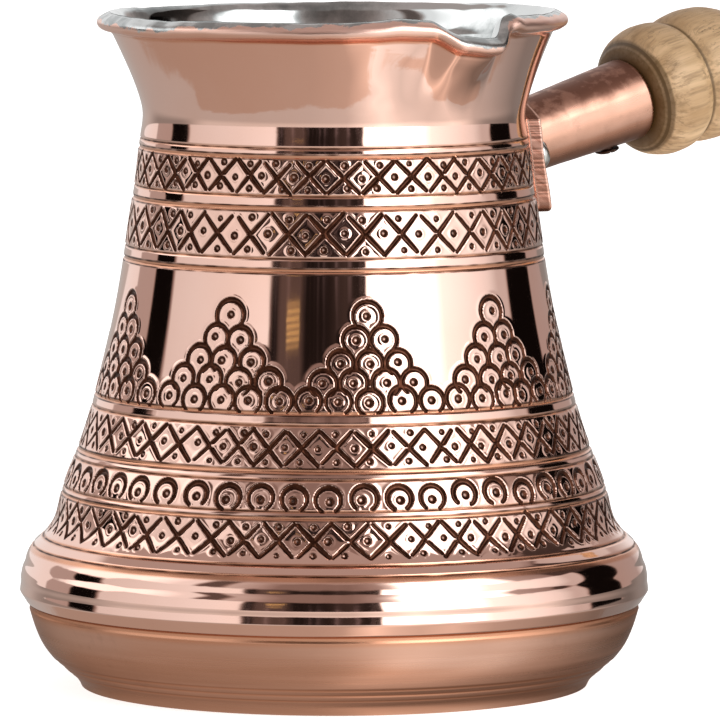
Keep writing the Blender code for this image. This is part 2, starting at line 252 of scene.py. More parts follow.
# Colours, linear
COPPER = (0.955, 0.638, 0.538)
COPPER_DEEP = (0.88, 0.50, 0.37)
# Painted warm shade for turned grooves and hollows, standing in for light bouncing inside them
PAINTED_GROOVE_SHADE = (0.80, 0.37, 0.215)
PATINA = (0.050, 0.018, 0.010)
BASE_COPPER = (0.83, 0.50, 0.38)
BASE_DEEP = (0.68, 0.375, 0.26)
EDGE_DARKNESS = (0.50, 0.46, 0.44)
TUBE_COPPER = (0.78, 0.44, 0.32)
TIN = (0.74, 0.755, 0.75)
TIN_DARK = (0.20, 0.22, 0.22)
RIVET_WHITE = (0.74, 0.73, 0.70)
BRAZE = (0.86, 0.62, 0.36)
# Brown stain and tarnish, also used for the painted shade under the tube
STAIN_AND_SHADE = (0.155, 0.060, 0.038)
SCREW_STEEL = (0.055, 0.05, 0.055)
SCREW_WORN = (0.09, 0.05, 0.035)
BEECH_LIGHT = (0.67, 0.46, 0.262)
BEECH_DARK = (0.39, 0.235, 0.105)
# Darkest wood: checks, the line in the groove, and the shoulder's end grain with painted shade
DARK_WOOD_AND_SHADE = (0.085, 0.043, 0.009)
WHITE = (1.0, 1.0, 1.0)
# How quickly brushed grain changes round the axis, and how far it stands up, in metres
SLOW_GRAIN = 12.0
GRAIN_RELIEF = 0.00002

# Studio: brightness round the pot by the turn from the camera, to the right
CAMERA_TURN = -128.0
STUDIO = (
    (-180, 0.90), (-131.2, 0.90), (-130.8, 0.45), (-113.2, 0.45), (-112.8, 0.004),
    (-97.2, 0.004), (-96.8, 0.76), (-60, 0.90), (-34.3, 1.05), (-33.7, 0.012), (-31, 0.012),
    (-28.5, 0.11), (-17.5, 0.09), (-16, 0.012), (-4, 0.015), (6, 0.05), (12, 0.02), (17.7, 0.05),
    (18.4, 3.0), (48, 3.0), (60, 1.5), (92, 0.92), (99, 0.62), (106.8, 0.62), (107.2, 0.004),
    (129.8, 0.004), (130.2, 0.42), (152, 0.42), (165, 0.90), (180, 0.90),
)
# The same above the low opening, whose upper edge is between these heights
STUDIO_ABOVE = (
    (-180, 0.85), (-125, 0.95), (-116, 1.5), (-80, 1.5), (-64, 0.95), (-58, 0.95), (-54, 0.12),
    (-46, 0.12), (-42, 0.60), (-34, 0.50), (-22, 0.26), (8, 0.25), (18, 0.40), (23, 0.9),
    (30, 3.2), (66, 3.2), (76, 0.50), (94, 0.30), (97, 0.07), (129.8, 0.05), (130.2, 0.55),
    (180, 0.85),
)
OPENING_TOP = (0.37, 0.44)
OPENING_LOWER_LEFT = 0.14
STUDIO_TOP = 0.44
SHADE_TINT = (1.0, 0.74, 0.66)
GLINT_TINT = (1.0, 0.82, 0.88)
# Shelves seen in the opening: turn and half width, heights from their foot to where they fade
SHELF_TINT = (0.80, 0.58, 0.20)
SHELF_TURN = math.radians(-21.8)
SHELF_HALF_WIDTH = math.radians(3.4)
SHELF_HEIGHTS = (0.250, 0.256, 0.312, 0.345)
SHELF_SPACING = 0.0125
TABLE_NEAR = (0.49, 0.405, 0.345)
TABLE_FAR = (0.56, 0.55, 0.53)
# Brightness of the table round the pot, by turn
TABLE_LIGHT = (
    (-180, 0.80), (-128, 0.85), (-90, 0.90), (-15, 1.0), (8, 1.15), (30, 2.2), (44, 1.7),
    (58, 1.45), (76, 1.70), (94, 1.08), (110, 0.86), (137, 0.42), (160, 0.45), (180, 0.80),
)
# Where the lit part of the table ends, as sin(elevation), and how that changes with the turn
TABLE_EDGE = -0.43
TABLE_EDGE_STEPS = (
    (-134.0, -106.0, -0.10), (-101.0, -89.0, 0.14), (-76.0, -12.0, -0.21), (5.0, 32.0, -0.18),
    (88.0, 100.0, 0.28),
)
BACKDROP = 1.0
FLOOR_GLOW = 0.7
FLOOR_HALF_SIZE = 6.0
FLOOR_DROP = 0.00002

# Camera: millimetres of lens, metres from the pot's axis and up, and its angles
CAMERA_LENS = 400.0
CAMERA_DISTANCE = 1.143
CAMERA_HEIGHT = 0.1506
CAMERA_FACING = math.radians(38.0)
CAMERA_PAN = 26 / 8000
CAMERA_PITCH = 0.0908


# ---------------------------------------------------------------- curves

def spline(stations):
    """A natural cubic through (position, value) stations, as a function of position."""
    place, level = (np.array(column, float) for column in zip(*sorted(stations)))
    gap = np.diff(place)
    slope = np.diff(level) / gap
    matrix = np.eye(len(place))
    right = np.zeros(len(place))
    for i in range(1, len(place) - 1):
        matrix[i, i - 1:i + 2] = gap[i - 1], 2 * (gap[i - 1] + gap[i]), gap[i]
        right[i] = 6 * (slope[i] - slope[i - 1])
    bend = np.linalg.solve(matrix, right)

    def value(at):
        at = np.clip(at, place[0], place[-1])
        i = np.clip(np.searchsorted(place, at) - 1, 0, len(gap) - 1)
        after, before, width = at - place[i], place[i + 1] - at, gap[i]
        curved = (bend[i] * before ** 3 + bend[i + 1] * after ** 3) / (6 * width)
        low = (level[i] / width - bend[i] * width / 6) * before
        high = (level[i + 1] / width - bend[i + 1] * width / 6) * after
        return curved + low + high

    return value


def distances(line):
    """Distance along a (radius, height) line at each of its points."""
    return np.concatenate([[0.0], np.cumsum(np.hypot(*np.diff(line, axis=0).T))])


def evenly(line, step):
    """Points along a (radius, height) line, at an even distance near step."""
    line = np.asarray(line, float)
    run = distances(line)
    count = max(2, int(round(run[-1] / step)) + 1)
    at = np.linspace(0.0, run[-1], count)
    return np.column_stack([np.interp(at, run, line[:, k]) for k in (0, 1)])


def smooth_line(points, step):
    """An evenly spaced smooth curve through (radius, height) points."""
    points = np.asarray(points, float)
    run = distances(points)
    at = np.linspace(0.0, run[-1], FINE_POINTS)
    curve = [spline(list(zip(run, points[:, k])))(at) for k in (0, 1)]
    return evenly(np.column_stack(curve), step)


def joined(*lines):
    """Lines end to end, with the shared points given once."""
    return np.concatenate([lines[0]] + [line[1:] for line in lines[1:]])


def smooth_step(value, low, high):
    t = np.clip((value - low) / (high - low), 0.0, 1.0)
    return t * t * (3 - 2 * t)


def bell(distance, width):
    """1 in the middle, fading out smoothly over this width."""
    return np.exp(-(distance / width) ** 2)


def hump(distance, half_width):
    """1 in the middle, and 0 from the half width on."""
    return np.cos(np.clip(np.abs(distance) / half_width, 0.0, 1.0) * math.pi / 2) ** 2


def angles(columns):
    """The angles of evenly spaced columns, once round."""
    return np.arange(columns) / columns * math.tau


def polar(radius, angle, height):
    """Points by their distance and angle from the axis."""
    return np.stack([radius * np.cos(angle), radius * np.sin(angle), height], -1)


wall_radius = spline(WALL_STATIONS)


def wall_line(top, bottom, step):
    height = np.linspace(top, bottom, FINE_POINTS)
    return evenly(np.column_stack([wall_radius(height), height]), step)


def ripples(angle, waves, size):
    """A slow hand-made waviness round the pot, in a seeded mix of whole waves."""
    total = np.zeros_like(angle)
    for wave in waves:
        total += RANDOM.uniform(0.5, 1.0) * np.sin(wave * angle + RANDOM.uniform(0, math.tau))
    return size * total / len(waves)


# ---------------------------------------------------------------- meshes

class Skin:
    """Grids of points gathered into one mesh, with a tidy UV layout and point attributes.

    A matrix given at the end places the piece, and its own coordinates stay in an attribute.
    """

    def __init__(self):
        self.points, self.marks, self.faces, self.uvs = [], [], [], []
        self.count = 0

    def _add(self, points, marks, quads, uv):
        self.points.append(points.reshape(-1, 3))
        self.marks.append(np.broadcast_to(marks, points.shape[:-1] + (3,)).reshape(-1, 3))
        self.faces.append(quads + self.count)
        self.uvs.append(uv)
        self.count += points.reshape(-1, 3).shape[0]

    def grid(self, points, marks=NO_MARKS, wrap=True, strip=(0.0, 1.0), folds=1, flip=False):
        """Rows by columns of points. The UV strip is cut into folds laid over each other."""
        rows, columns = points.shape[:2]
        index = np.arange(rows * columns).reshape(rows, columns)
        right = np.roll(index, -1, axis=1)
        across = columns if wrap else columns - 1
        quads = np.stack([index[:-1], index[1:], right[1:], right[:-1]], -1)[:, :across]
        u = np.arange(across) / across * folds
        fold = np.floor(u + 1e-9)
        left = u - fold
        ends = np.stack([left, left, left + folds / across, left + folds / across], -1)
        low, high = strip
        band = (high - low) / folds
        down = np.arange(rows) / (rows - 1)
        v_rows = np.stack([down[:-1], down[1:], down[1:], down[:-1]], -1)[:, None, :]
        v = low + band * (fold[None, :, None] + FOLD_MARGIN + (1 - 2 * FOLD_MARGIN) * (1 - v_rows))
        u = np.broadcast_to(SIDE_MARGIN + (1 - 2 * SIDE_MARGIN) * ends[None], v.shape)
        uv = np.stack([u, v], -1)
        if flip:
            quads, uv = quads[..., ::-1], uv[..., ::-1, :]
        self._add(points, marks, quads.reshape(-1, 4), uv.reshape(-1, 4, 2))
        return self

    def cap(self, ring, centre, spot, size, flip=False):
        """Triangles from a ring of points to its centre, stored as quads with a doubled corner."""
        count = len(ring)
        points = np.concatenate([ring, np.asarray(centre, float)[None]])
        here = np.arange(count)
        there = np.roll(here, -1)
        middle = np.full(count, count)
        quads = np.stack([here, middle, middle, there], -1)
        turn = angles(count)
        ahead = turn + math.tau / count
        spot = np.asarray(spot, float)
        edge = [spot + size * np.stack([np.cos(a), np.sin(a)], -1) for a in (turn, ahead)]
        hub = np.broadcast_to(spot, edge[0].shape)
        uv = np.stack([edge[0], hub, hub, edge[1]], 1)
        if flip:
            quads, uv = quads[:, ::-1], uv[:, ::-1]
        self._add(points, NO_MARKS, quads, uv)
        return self

    def finish(self, name, material, slot, node, matrix=None):
        """Make the object that stands for a CAD node."""
        item = self.to_object(name, matrix)
        item.data.materials.append(material)
        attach(item, "root")
        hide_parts(node)

    def to_object(self, name, matrix):
        points = np.concatenate(self.points) * MM
        local = points
        if matrix is not None:
            matrix = np.array(matrix)
            points = local @ matrix[:3, :3].T + matrix[:3, 3]
        faces = np.concatenate(self.faces)
        uvs = np.concatenate(self.uvs)
        whole = np.ones(faces.shape, bool)
        whole[:, 2] = faces[:, 1] != faces[:, 2]
        sizes = whole.sum(1)
        mesh = bpy.data.meshes.new(name)
        mesh.vertices.add(len(points))
        mesh.vertices.foreach_set("co", points.astype(np.float32).ravel())
        mesh.loops.add(int(sizes.sum()))
        mesh.loops.foreach_set("vertex_index", faces[whole].astype(np.int32))
        mesh.polygons.add(len(faces))
        starts = np.concatenate([[0], np.cumsum(sizes)[:-1]])
        mesh.polygons.foreach_set("loop_start", starts.astype(np.int32))
        mesh.update(calc_edges=True)
        layer = mesh.uv_layers.new(name="OFBake")
        layer.data.foreach_set("uv", uvs[whole].astype(np.float32).ravel())
        for k, mark in enumerate(MARKS):
            attribute = mesh.attributes.new(mark, "FLOAT", "POINT")
            values = np.concatenate(self.marks)[:, k]
            attribute.data.foreach_set("value", values.astype(np.float32))
        own = mesh.attributes.new("own_place", "FLOAT_VECTOR", "POINT")
        own.data.foreach_set("vector", local.astype(np.float32).ravel())
        mesh.shade_smooth()
        item = bpy.data.objects.new(name, mesh)
        bpy.context.scene.collection.objects.link(item)
        return item


def turned(line, columns=COLUMNS, height_field=0.0):
    """A (radius, height) line turned about Z, each point moved out by the height field."""
    tangent = np.gradient(line, axis=0)
    tangent /= np.hypot(*tangent.T)[:, None]
    outward = np.column_stack([-tangent[:, 1], tangent[:, 0]])
    out = np.broadcast_to(height_field, (len(line), columns))
    radius = line[:, 0, None] + outward[:, 0, None] * out
    height = line[:, 1, None] + outward[:, 1, None] * out
    return polar(radius, angles(columns), height)


def point_marks(shape, patina=0.0, groove=0.0, tinned=0.0):
    """The marks of every point of a grid, in the order of the mesh's attributes."""
    return np.stack([np.broadcast_to(mark, shape) for mark in (patina, groove, tinned)], -1)


# ---------------------------------------------------------------- chasing

def moulding_height(height):
    """Outward height of the turned mouldings, and how deep in a groove each height lies."""
    out = np.zeros_like(height)
    groove = np.zeros_like(height)
    for middle, half_width, depth in MOULDINGS:
        out -= depth * hump(height - middle, half_width)
        share = np.abs(height - middle) / half_width
        groove = np.maximum(groove, smooth_step(1 - share, 0.0, 0.35))
    return out, groove


def groove_patina(height, columns):
    """Patina left in the turned grooves, heavier in some stretches than in others."""
    total = np.zeros((len(height), columns))
    for middle, half_width, _ in MOULDINGS:
        patchy = 0.78 + 0.8 * ripples(angles(columns), (5, 11, 17, 29, 43, 71), 1.0)
        from_edge = np.abs(height - middle)
        if half_width > WIDE_MOULDING:
            from_edge = from_edge - WIDE_MOULDING_EDGE * half_width
        dark = hump(from_edge, PATINA_REACH)
        total = np.maximum(total, dark[:, None] * np.clip(patchy, 0.35, 1.0)[None])
    return total


class Chasing:
    """Cuts and burrs over one strip of the wall, in millimetres."""

    def __init__(self, line):
        self.line = line
        self.run = distances(line)
        self.cut, self.burr, self.dark = np.zeros((3, len(line), COLUMNS))

    def window(self, turn, height, reach):
        """Indices and local (right, up) coordinates of the grid round a place, or None."""
        top, bottom = self.line[0, 1], self.line[-1, 1]
        if height > top + reach or height < bottom - reach:
            return None
        here = np.interp(-height, -self.line[:, 1], self.run)
        here += max(0.0, bottom - height) - max(0.0, height - top)
        radius = np.interp(-height, -self.line[:, 1], self.line[:, 0])
        rows = np.flatnonzero(np.abs(self.run - here) <= reach)
        if not len(rows):
            return None
        step = math.tau / COLUMNS
        centre = math.radians(turn) / step
        half = int(reach / (radius * step)) + 2
        columns = np.arange(round(centre) - half, round(centre) + half + 1)
        right = (columns - centre) * step * radius
        grid = np.ix_(rows, columns % COLUMNS)
        x, y = np.meshgrid(right, here - self.run[rows])
        return grid, x, y

    def carve(self, grid, distance, half_width, depth):
        """Cut a round-bottomed groove at this distance from its middle line, with burrs."""
        share = np.clip(distance / half_width, 0.0, 1.0)
        cut = depth * np.cos(share ** 1.35 * math.pi / 2) ** 2
        past = np.maximum(distance - half_width, 0.0)
        burr = BURR_HEIGHT * bell(past, BURR_WIDTH) * (distance > half_width * 0.8)
        dark = smooth_step(1 - share, 0.0, 0.16) * (0.72 + 0.28 * smooth_step(share, 0.10, 0.5))
        self.cut[grid] = np.maximum(self.cut[grid], cut)
        self.burr[grid] = np.maximum(self.burr[grid], burr)
        self.dark[grid] = np.maximum(self.dark[grid], dark)

    def stroke(self, turn, height, start, end, half_width, depth):
        """A straight chisel cut between two local points, shallow at the place's own middle."""
        reach = max(math.hypot(*start), math.hypot(*end)) + 1.0
        found = self.window(turn, height, reach)
        if found is None:
            return
        grid, x, y = found
        ax, ay = start
        bx, by = end
        length = math.hypot(bx - ax, by - ay)
        along = ((x - ax) * (bx - ax) + (y - ay) * (by - ay)) / length ** 2
        t = np.clip(along, 0.0, 1.0)
        distance = np.hypot(x - ax - t * (bx - ax), y - ay - t * (by - ay))
        crossing = bell(np.hypot(x, y), CROSSING_WIDTH)
        fullness = STROKE_END + STROKE_SWELL * np.sin(t * math.pi)
        self.carve(grid, distance / fullness + CROSSING_RISE * crossing, half_width, depth)

    def arc(self, turn, height, radius, half_width, depth, open_from, open_to):
        """A ring cut, left open between two angles measured from straight down."""
        found = self.window(turn, height, radius + 1.0)
        if found is None:
            return
        grid, x, y = found
        angle = np.arctan2(x, -y)
        distance = np.abs(np.hypot(x, y) - radius)
        for edge in (open_from, open_to):
            tip = np.hypot(x - radius * math.sin(edge), y + radius * math.cos(edge))
            inside = (angle > open_from) & (angle < open_to)
            nearest = np.abs(angle - edge) < np.abs(angle - (open_from + open_to - edge))
            distance = np.where(inside & nearest, tip, distance)
        top_heavy = 0.72 + 0.46 * (0.5 - 0.5 * np.cos(angle)) ** 0.8
        self.carve(grid, distance / top_heavy, half_width, depth)

    def dot(self, turn, height, radius, depth):
        """A round punch mark."""
        found = self.window(turn, height, radius + 0.7)
        if found is None:
            return
        grid, x, y = found
        self.carve(grid, np.hypot(x, y), radius, depth)
        tip = bell(np.hypot(x + PUNCH_SLIP, y - PUNCH_SLIP), 0.36 * radius)
        self.cut[grid] -= PUNCH_TIP * tip
        self.dark[grid] *= 1 - 0.6 * tip

    def heights(self):
        """Outward height field, with the turned mouldings, and the marks for the material."""
        turning, groove = moulding_height(self.line[:, 1])
        dark = np.maximum(self.dark, groove_patina(self.line[:, 1], COLUMNS))
        burr = self.burr * (1 - smooth_step(self.cut, 0.0, 0.05))
        out = turning[:, None] + burr - self.cut
        return out, point_marks(out.shape, dark, groove[:, None])


def hand(size):
    """A small seeded slip of the hand."""
    return RANDOM.normal(0.0, size)


def cell_turns(count, first, unevenness):
    """Turns of the cells of a band, unevenly spaced by hand but closing round the pot."""
    widths = 1 + RANDOM.uniform(-unevenness, unevenness, count)
    edges = np.concatenate([[0.0], np.cumsum(widths)]) / widths.sum() * 360.0
    middles = (edges[:-1] + edges[1:]) / 2
    return first + middles - middles[0], first + edges[:-1] - middles[0]


def diamond_cuts(low, high, count, first):
    """Every cut of a band of crossed strokes, as (method, arguments)."""
    cuts = []
    middles, crossings = cell_turns(count, first, UNEVEN_DIAMONDS)
    middle_height = (low + high) / 2
    radius = float(wall_radius(middle_height))
    half_height = (high - low) / 2
    for i in range(count):
        left, right = crossings[i], crossings[(i + 1) % count]
        right += 360.0 if right < left else 0.0
        half = math.radians(right - left) / 2 * radius
        before = math.radians(left - crossings[i - 1] + (360.0 if i == 0 else 0.0)) / 2 * radius
        slip = hand(0.10)
        for side in (1, -1):
            ends = []
            for across, upward in ((-before, -side), (half, side)):
                share = RANDOM.uniform(0.80, 0.98)
                ends.append((share * across + hand(0.10), upward * share * half_height))
            width = STROKE_HALF_WIDTH * RANDOM.uniform(0.85, 1.12)
            depth = CUT_DEPTH * RANDOM.uniform(0.85, 1.1)
            cuts.append(("stroke", (left, middle_height + slip, *ends, width, depth)))
        size = DOT_RADIUS * RANDOM.uniform(0.85, 1.15)
        place = (middles[i] + hand(0.35), middle_height + hand(0.15))
        cuts.append(("dot", (*place, size, DOT_DEPTH)))
        for level in (high - EDGE_DOTS, low + EDGE_DOTS):
            size = DOT_RADIUS * RANDOM.uniform(0.78, 1.02)
            cuts.append(("dot", (left + hand(0.5), level + hand(0.10), size, EDGE_DOT_DEPTH)))
    return cuts


def open_ring(turn, height, radius, slip, half_width, thinnest, thickest):
    """A ring cut that is open at its foot."""
    open_from = -OPEN_ANGLE / 2 + hand(slip)
    open_to = OPEN_ANGLE / 2 + hand(slip)
    width = half_width * RANDOM.uniform(thinnest, thickest)
    return "arc", (turn, height, radius, width, CUT_DEPTH, open_from, open_to)


def eye(turn, height, radius):
    """The punched dot inside a ring."""
    return "dot", (turn + hand(0.25), height + hand(0.08), radius, EYE_DEPTH)


def horseshoe_cuts():
    """The row of horseshoes, each open at its foot with a dot inside."""
    cuts = []
    middles, _ = cell_turns(HORSESHOES, HORSESHOE_TURN, UNEVEN_HORSESHOES)
    for turn in middles:
        radius = HORSESHOE_RADIUS * RANDOM.uniform(0.95, 1.04)
        height = HORSESHOE_HEIGHT + hand(0.10)
        cuts.append(open_ring(turn, height, radius, 0.09, STROKE_HALF_WIDTH, 0.92, 1.15))
        cuts.append(eye(turn, height - EYE_DROP, EYE_RADIUS))
    return cuts


def scale_cuts():
    """The frieze: pyramids of scales, four rows over an unbroken row round the pot."""
    cuts = []
    for k, peak in enumerate(PYRAMID_TURNS):
        after = PYRAMID_TURNS[(k + 1) % len(PYRAMID_TURNS)]
        after += 360.0 if after < peak else 0.0
        before = PYRAMID_TURNS[k - 1] - (360.0 if k == 0 else 0.0)
        step = ((after - peak) + (peak - before)) / 2 / SCALES_BELOW
        for row, height in enumerate(PYRAMID_ROWS):
            count = row + 1
            for i in range(count):
                place = i - (count - 1) / 2
                reach = (after - peak) if place > 0 else (peak - before)
                unbroken = count == SCALES_BELOW
                pitch = reach / SCALES_BELOW if unbroken else step * PYRAMID_PITCHES[row]
                turn = peak + place * pitch + hand(0.25)
                size = PEAK_SIZE if row == 0 else 1.0
                radius = SCALE_RADIUS * RANDOM.uniform(0.95, 1.06) * size
                level = height + hand(0.10)
                cuts.append(open_ring(turn, level, radius, 0.08, SCALE_HALF_WIDTH, 0.88, 1.12))
                cuts.append(eye(turn, level, EYE_RADIUS * RANDOM.uniform(0.84, 0.98)))
    return cuts


def wall_ring(name, top, bottom, cuts, material):
    """A ring of the chased wall, closed at its back."""
    line = wall_line(top, bottom, ROW_STEP)
    chasing = Chasing(line)
    for method, arguments in cuts:
        getattr(chasing, method)(*arguments)
    out, marks = chasing.heights()
    face = turned(line, height_field=out)
    skin = Skin().grid(face, marks, strip=(0.06, 1.0), folds=8)
    close_back(skin, face, line)
    skin.finish(name, material, "polished_copper", "vessel_body")


def close_back(skin, face, line):
    """The hidden back of a ring of the wall: its two cut edges and its inner face."""
    back = turned(line[[0, -1]] - (WALL - BACK_GAP, 0.0))
    around = np.stack([face[0], back[0], back[1], face[-1]])
    skin.grid(around, strip=(0.0, 0.05), flip=True)


# ---------------------------------------------------------------- rim, neck and tin

def spout_share(turn):
    """How far the rim is pinched, from 0 to 1, by the turn in degrees from the spout's middle."""
    fall = 0.78 * smooth_step(turn, *SPOUT_FALL) + 0.22 * smooth_step(turn, *SPOUT_SETTLE)
    back = 1 - smooth_step(turn, *SPOUT_RISE)
    return fall * back


def from_spout(degrees):
    """Turn from the middle of the spout, between -180 and 180 degrees."""
    return (degrees - SPOUT_TURN + 180.0) % 360.0 - 180.0


def neck_dents(turn, height):
    """Soft dents where the spout was hammered out."""
    total = np.zeros_like(height)
    for middle, level, wide, tall, out in NECK_DENTS:
        total += out * bell(turn - middle, wide) * bell(height - level, tall)
    return total * smooth_step(height, 80.5, 84.0) * (1 - smooth_step(height, 92.0, 94.0))


def shape_rim(points):
    """Pinch the pouring lip and give the rim its hand-made waviness."""
    x, y, z = np.moveaxis(points, -1, 0)
    radius = np.hypot(x, y)
    angle = np.arctan2(y, x)
    turn = from_spout(np.degrees(angle))
    share = spout_share(turn)
    rise = smooth_step(z, 83.0, 95.0)
    shoulder = bell(turn - 12.5, 2.4) * smooth_step(z, 90.0, 95.5)
    swell = bell(turn + 21.0, 7.0) * smooth_step(z, 92.0, 96.0)
    lean = bell(turn - 52.0, 34.0) * smooth_step(z, 84.0, 96.0)
    wave = 0.10 * np.sin(3 * angle + 0.6) + 0.07 * np.sin(5 * angle + 2.0)
    wave += 0.05 * np.sin(9 * angle + 1.1) + 0.04 * np.sin(17 * angle) * np.sin(2 * angle + 0.9)
    wave += 0.03 * np.sin(41 * angle + 0.3) * np.sin(3 * angle + 1.4)
    push = SPOUT_REACH * share * rise - 0.45 * lean + 0.25 * shoulder + neck_dents(turn, z)
    up = wave * smooth_step(z, 88.0, 96.0) + 0.45 * swell + 0.55 * lean + 0.5 * shoulder
    drop = SPOUT_DIP * share * rise ** 2
    moved = (radius + push) / np.maximum(radius, 1e-6)
    return np.stack([x * moved, y * moved, z + up - drop], -1)


def make_neck(material):
    """Neck and rolled lip, from the first band of chasing over the ridge and down inside."""
    lip = smooth_line(LIP_STATIONS, 0.14)
    inner_height = np.linspace(NECK_BACK_TOP, NECK_BOTTOM, 40)
    inner = np.column_stack([wall_radius(inner_height) - WALL, inner_height])
    line = joined(wall_line(NECK_TOP, NECK_BOTTOM, 0.22)[::-1], lip)[::-1]
    radius, height = line.T
    turning, groove = moulding_height(height)
    grooved = height < NECK_GROOVES_BELOW
    # Painted warm shade under the rolled lip, given through the groove mark
    shade_under_lip = bell(height - UNDER_LIP, 0.22) * (radius > LIP_STATIONS[0][0])
    groove = np.maximum(groove * grooved, 0.8 * shade_under_lip)
    face = shape_rim(turned(line, NECK_COLUMNS, turning[:, None]))
    run = distances(line)
    ridge = run[np.argmax(height)]
    turns = from_spout(np.degrees(angles(NECK_COLUMNS)))
    side, wide, further = TIN_PAST_SIDE
    past = TIN_PAST_RIDGE + TIN_PAST_SPOUT * spout_share(turns) + further * bell(turns - side, wide)
    tinned = np.clip(0.5 - (run[:, None] - ridge - past[None]) / TIN_FADE, 0.0, 1.0)
    patina = groove_patina(height, NECK_COLUMNS) * (grooved & (run > ridge))[:, None]
    marks = point_marks(face.shape[:2], patina, groove[:, None], tinned)
    skin = Skin().grid(face, marks, strip=(0.10, 1.0), folds=4)
    back = shape_rim(turned(inner[::-1], NECK_COLUMNS))
    skin.grid(np.concatenate([face[-1:], back, face[:1]]), strip=(0.0, 0.09))
    skin.finish("pot_neck_and_lip", material, "polished_copper", "vessel_body")


def make_tin(material):
    """The tin wiped over the inside: floor, belly, wall and the inner slope of the lip."""
    height = np.linspace(BELLY_TOP, TIN_TOP, 260)
    wall = np.column_stack([wall_radius(height) - TIN_DEPTH, height])
    corner = smooth_line(((FLOOR_RADIUS, FLOOR_TOP), *BELLY_STATIONS, wall[0]), 0.5)
    edge = smooth_line((wall[-1], *TIN_EDGE), 0.2)
    floor = np.column_stack([np.linspace(1.0, FLOOR_RADIUS, 70), np.full(70, FLOOR_TOP)])
    line = joined(floor, corner, wall, edge)
    wipe = ripples(angles(TIN_COLUMNS), (2, 3, 5, 7, 11), 0.05)
    wipe = wipe * smooth_step(line[:, 1], 10.0, 30.0)[:, None]
    face = shape_rim(turned(line, TIN_COLUMNS, -wipe))
    skin = Skin().grid(face, strip=(0.25, 1.0), folds=3)
    skin.cap(face[0], (0.0, 0.0, FLOOR_TOP), spot=(0.12, 0.12), size=0.1, flip=True)
    behind = evenly(np.column_stack([wall_radius(height) - TIN_DEPTH + TIN_THICKNESS, height]), 2.0)
    below = FLOOR_TOP - TIN_THICKNESS
    under = np.array(((1.0, below), (FLOOR_RADIUS, below), TIN_CORNER))
    back = shape_rim(turned(np.concatenate([under, behind]), TIN_COLUMNS))
    skin.grid(np.concatenate([back, face[-1:]]), strip=(0.14, 0.24), flip=True)
    skin.cap(back[0], (0.0, 0.0, below), spot=(0.36, 0.12), size=0.1)
    skin.finish("tin_wiped_inside", material, "tin", "tin_lining")


# ---------------------------------------------------------------- bulge and base

def make_bulge(material):
    """The polished bulge under the last band, with its valley, its rings and their chamfer."""
    height = np.linspace(BULGE_TOP, BULGE_BOTTOM, 200)
    bulge = np.column_stack([spline(BULGE_STATIONS)(height), height])
    top = wall_line(WALL_BOTTOM, BULGE_TOP, ROW_STEP)
    line = joined(top, evenly(bulge, BULGE_STEP), evenly(CHAMFER, BULGE_STEP))
    height = line[:, 1]
    turning, groove = moulding_height(height)
    # The valley takes the painted warm shade of the grooves, through the groove mark
    valley = smooth_step(height, 19.35, 19.75) * (1 - smooth_step(height, 20.25, 20.6))
    angle = angles(COLUMNS)
    slow = ripples(angle, (3, 5, 8, 13), 0.02) - 0.02
    quick = ripples(angle, (23, 37, 51), 0.006)
    waves = slow[None] + quick[None] * np.sin(height * 2.1)[:, None]
    out = turning[:, None] + waves * smooth_step(height, 21.0, 19.0)[:, None]
    face = turned(line, height_field=out)
    # Patchy darkening along the valley, through the patina mark
    valley_darkening = 0.20 + 0.5 * ripples(angle, (2, 5, 9, 16), 1.0)
    valley_darkening = valley[:, None] * np.clip(valley_darkening, 0.03, 0.35)[None]
    patina = np.maximum(groove_patina(height, COLUMNS), valley_darkening)
    marks = point_marks(face.shape[:2], patina, np.maximum(groove, valley)[:, None])
    skin = Skin().grid(face, marks, strip=(0.06, 1.0), folds=6)
    close_back(skin, face, line)
    skin.finish("pot_bulge", material, "polished_copper", "vessel_body")


def make_base(material):
    """The brushed base under the bulge, its foot and the flat underside."""
    bowl, foot = (smooth_line(stations, ROW_STEP) for stations in (BOWL_STATIONS, FOOT_STATIONS))
    line = joined(evenly(RECESS, 0.1), bowl, foot)
    height = line[:, 1]
    out = np.zeros(len(line))
    # Painted warm shade in the recess under the chamfer and in the foot's grooves, through the
    # groove mark
    groove = smooth_step(height, 10.1, 11.3)
    for middle, half_width, depth in FOOT_GROOVES:
        dip = hump(height - middle, half_width)
        out -= depth * dip
        groove = np.maximum(groove, 0.75 * dip)
    face = turned(line, height_field=out[:, None])
    face[-1, :, 2] = 0.0
    marks = point_marks(face.shape[:2], groove=groove[:, None])
    skin = Skin().grid(face, marks, strip=(0.30, 1.0), folds=4)
    under = turned(evenly((FOOT_STATIONS[-1], (1.0, 0.0)), 1.2))
    skin.grid(under, strip=(0.14, 0.29))
    skin.cap(under[-1], (0.0, 0.0, 0.0), spot=(0.08, 0.07), size=0.06)
    back = turned(np.array(BASE_INSIDE))
    skin.grid(np.concatenate([face[:1], back]), strip=(0.0, 0.13), flip=True)
    skin.cap(back[-1], (0.0, 0.0, BASE_INSIDE[-1][1]), spot=(0.22, 0.07), size=0.06, flip=True)
    skin.finish("pot_brushed_base", material, "brushed_copper", "vessel_body")


# ---------------------------------------------------------------- bracket, rivets, tube

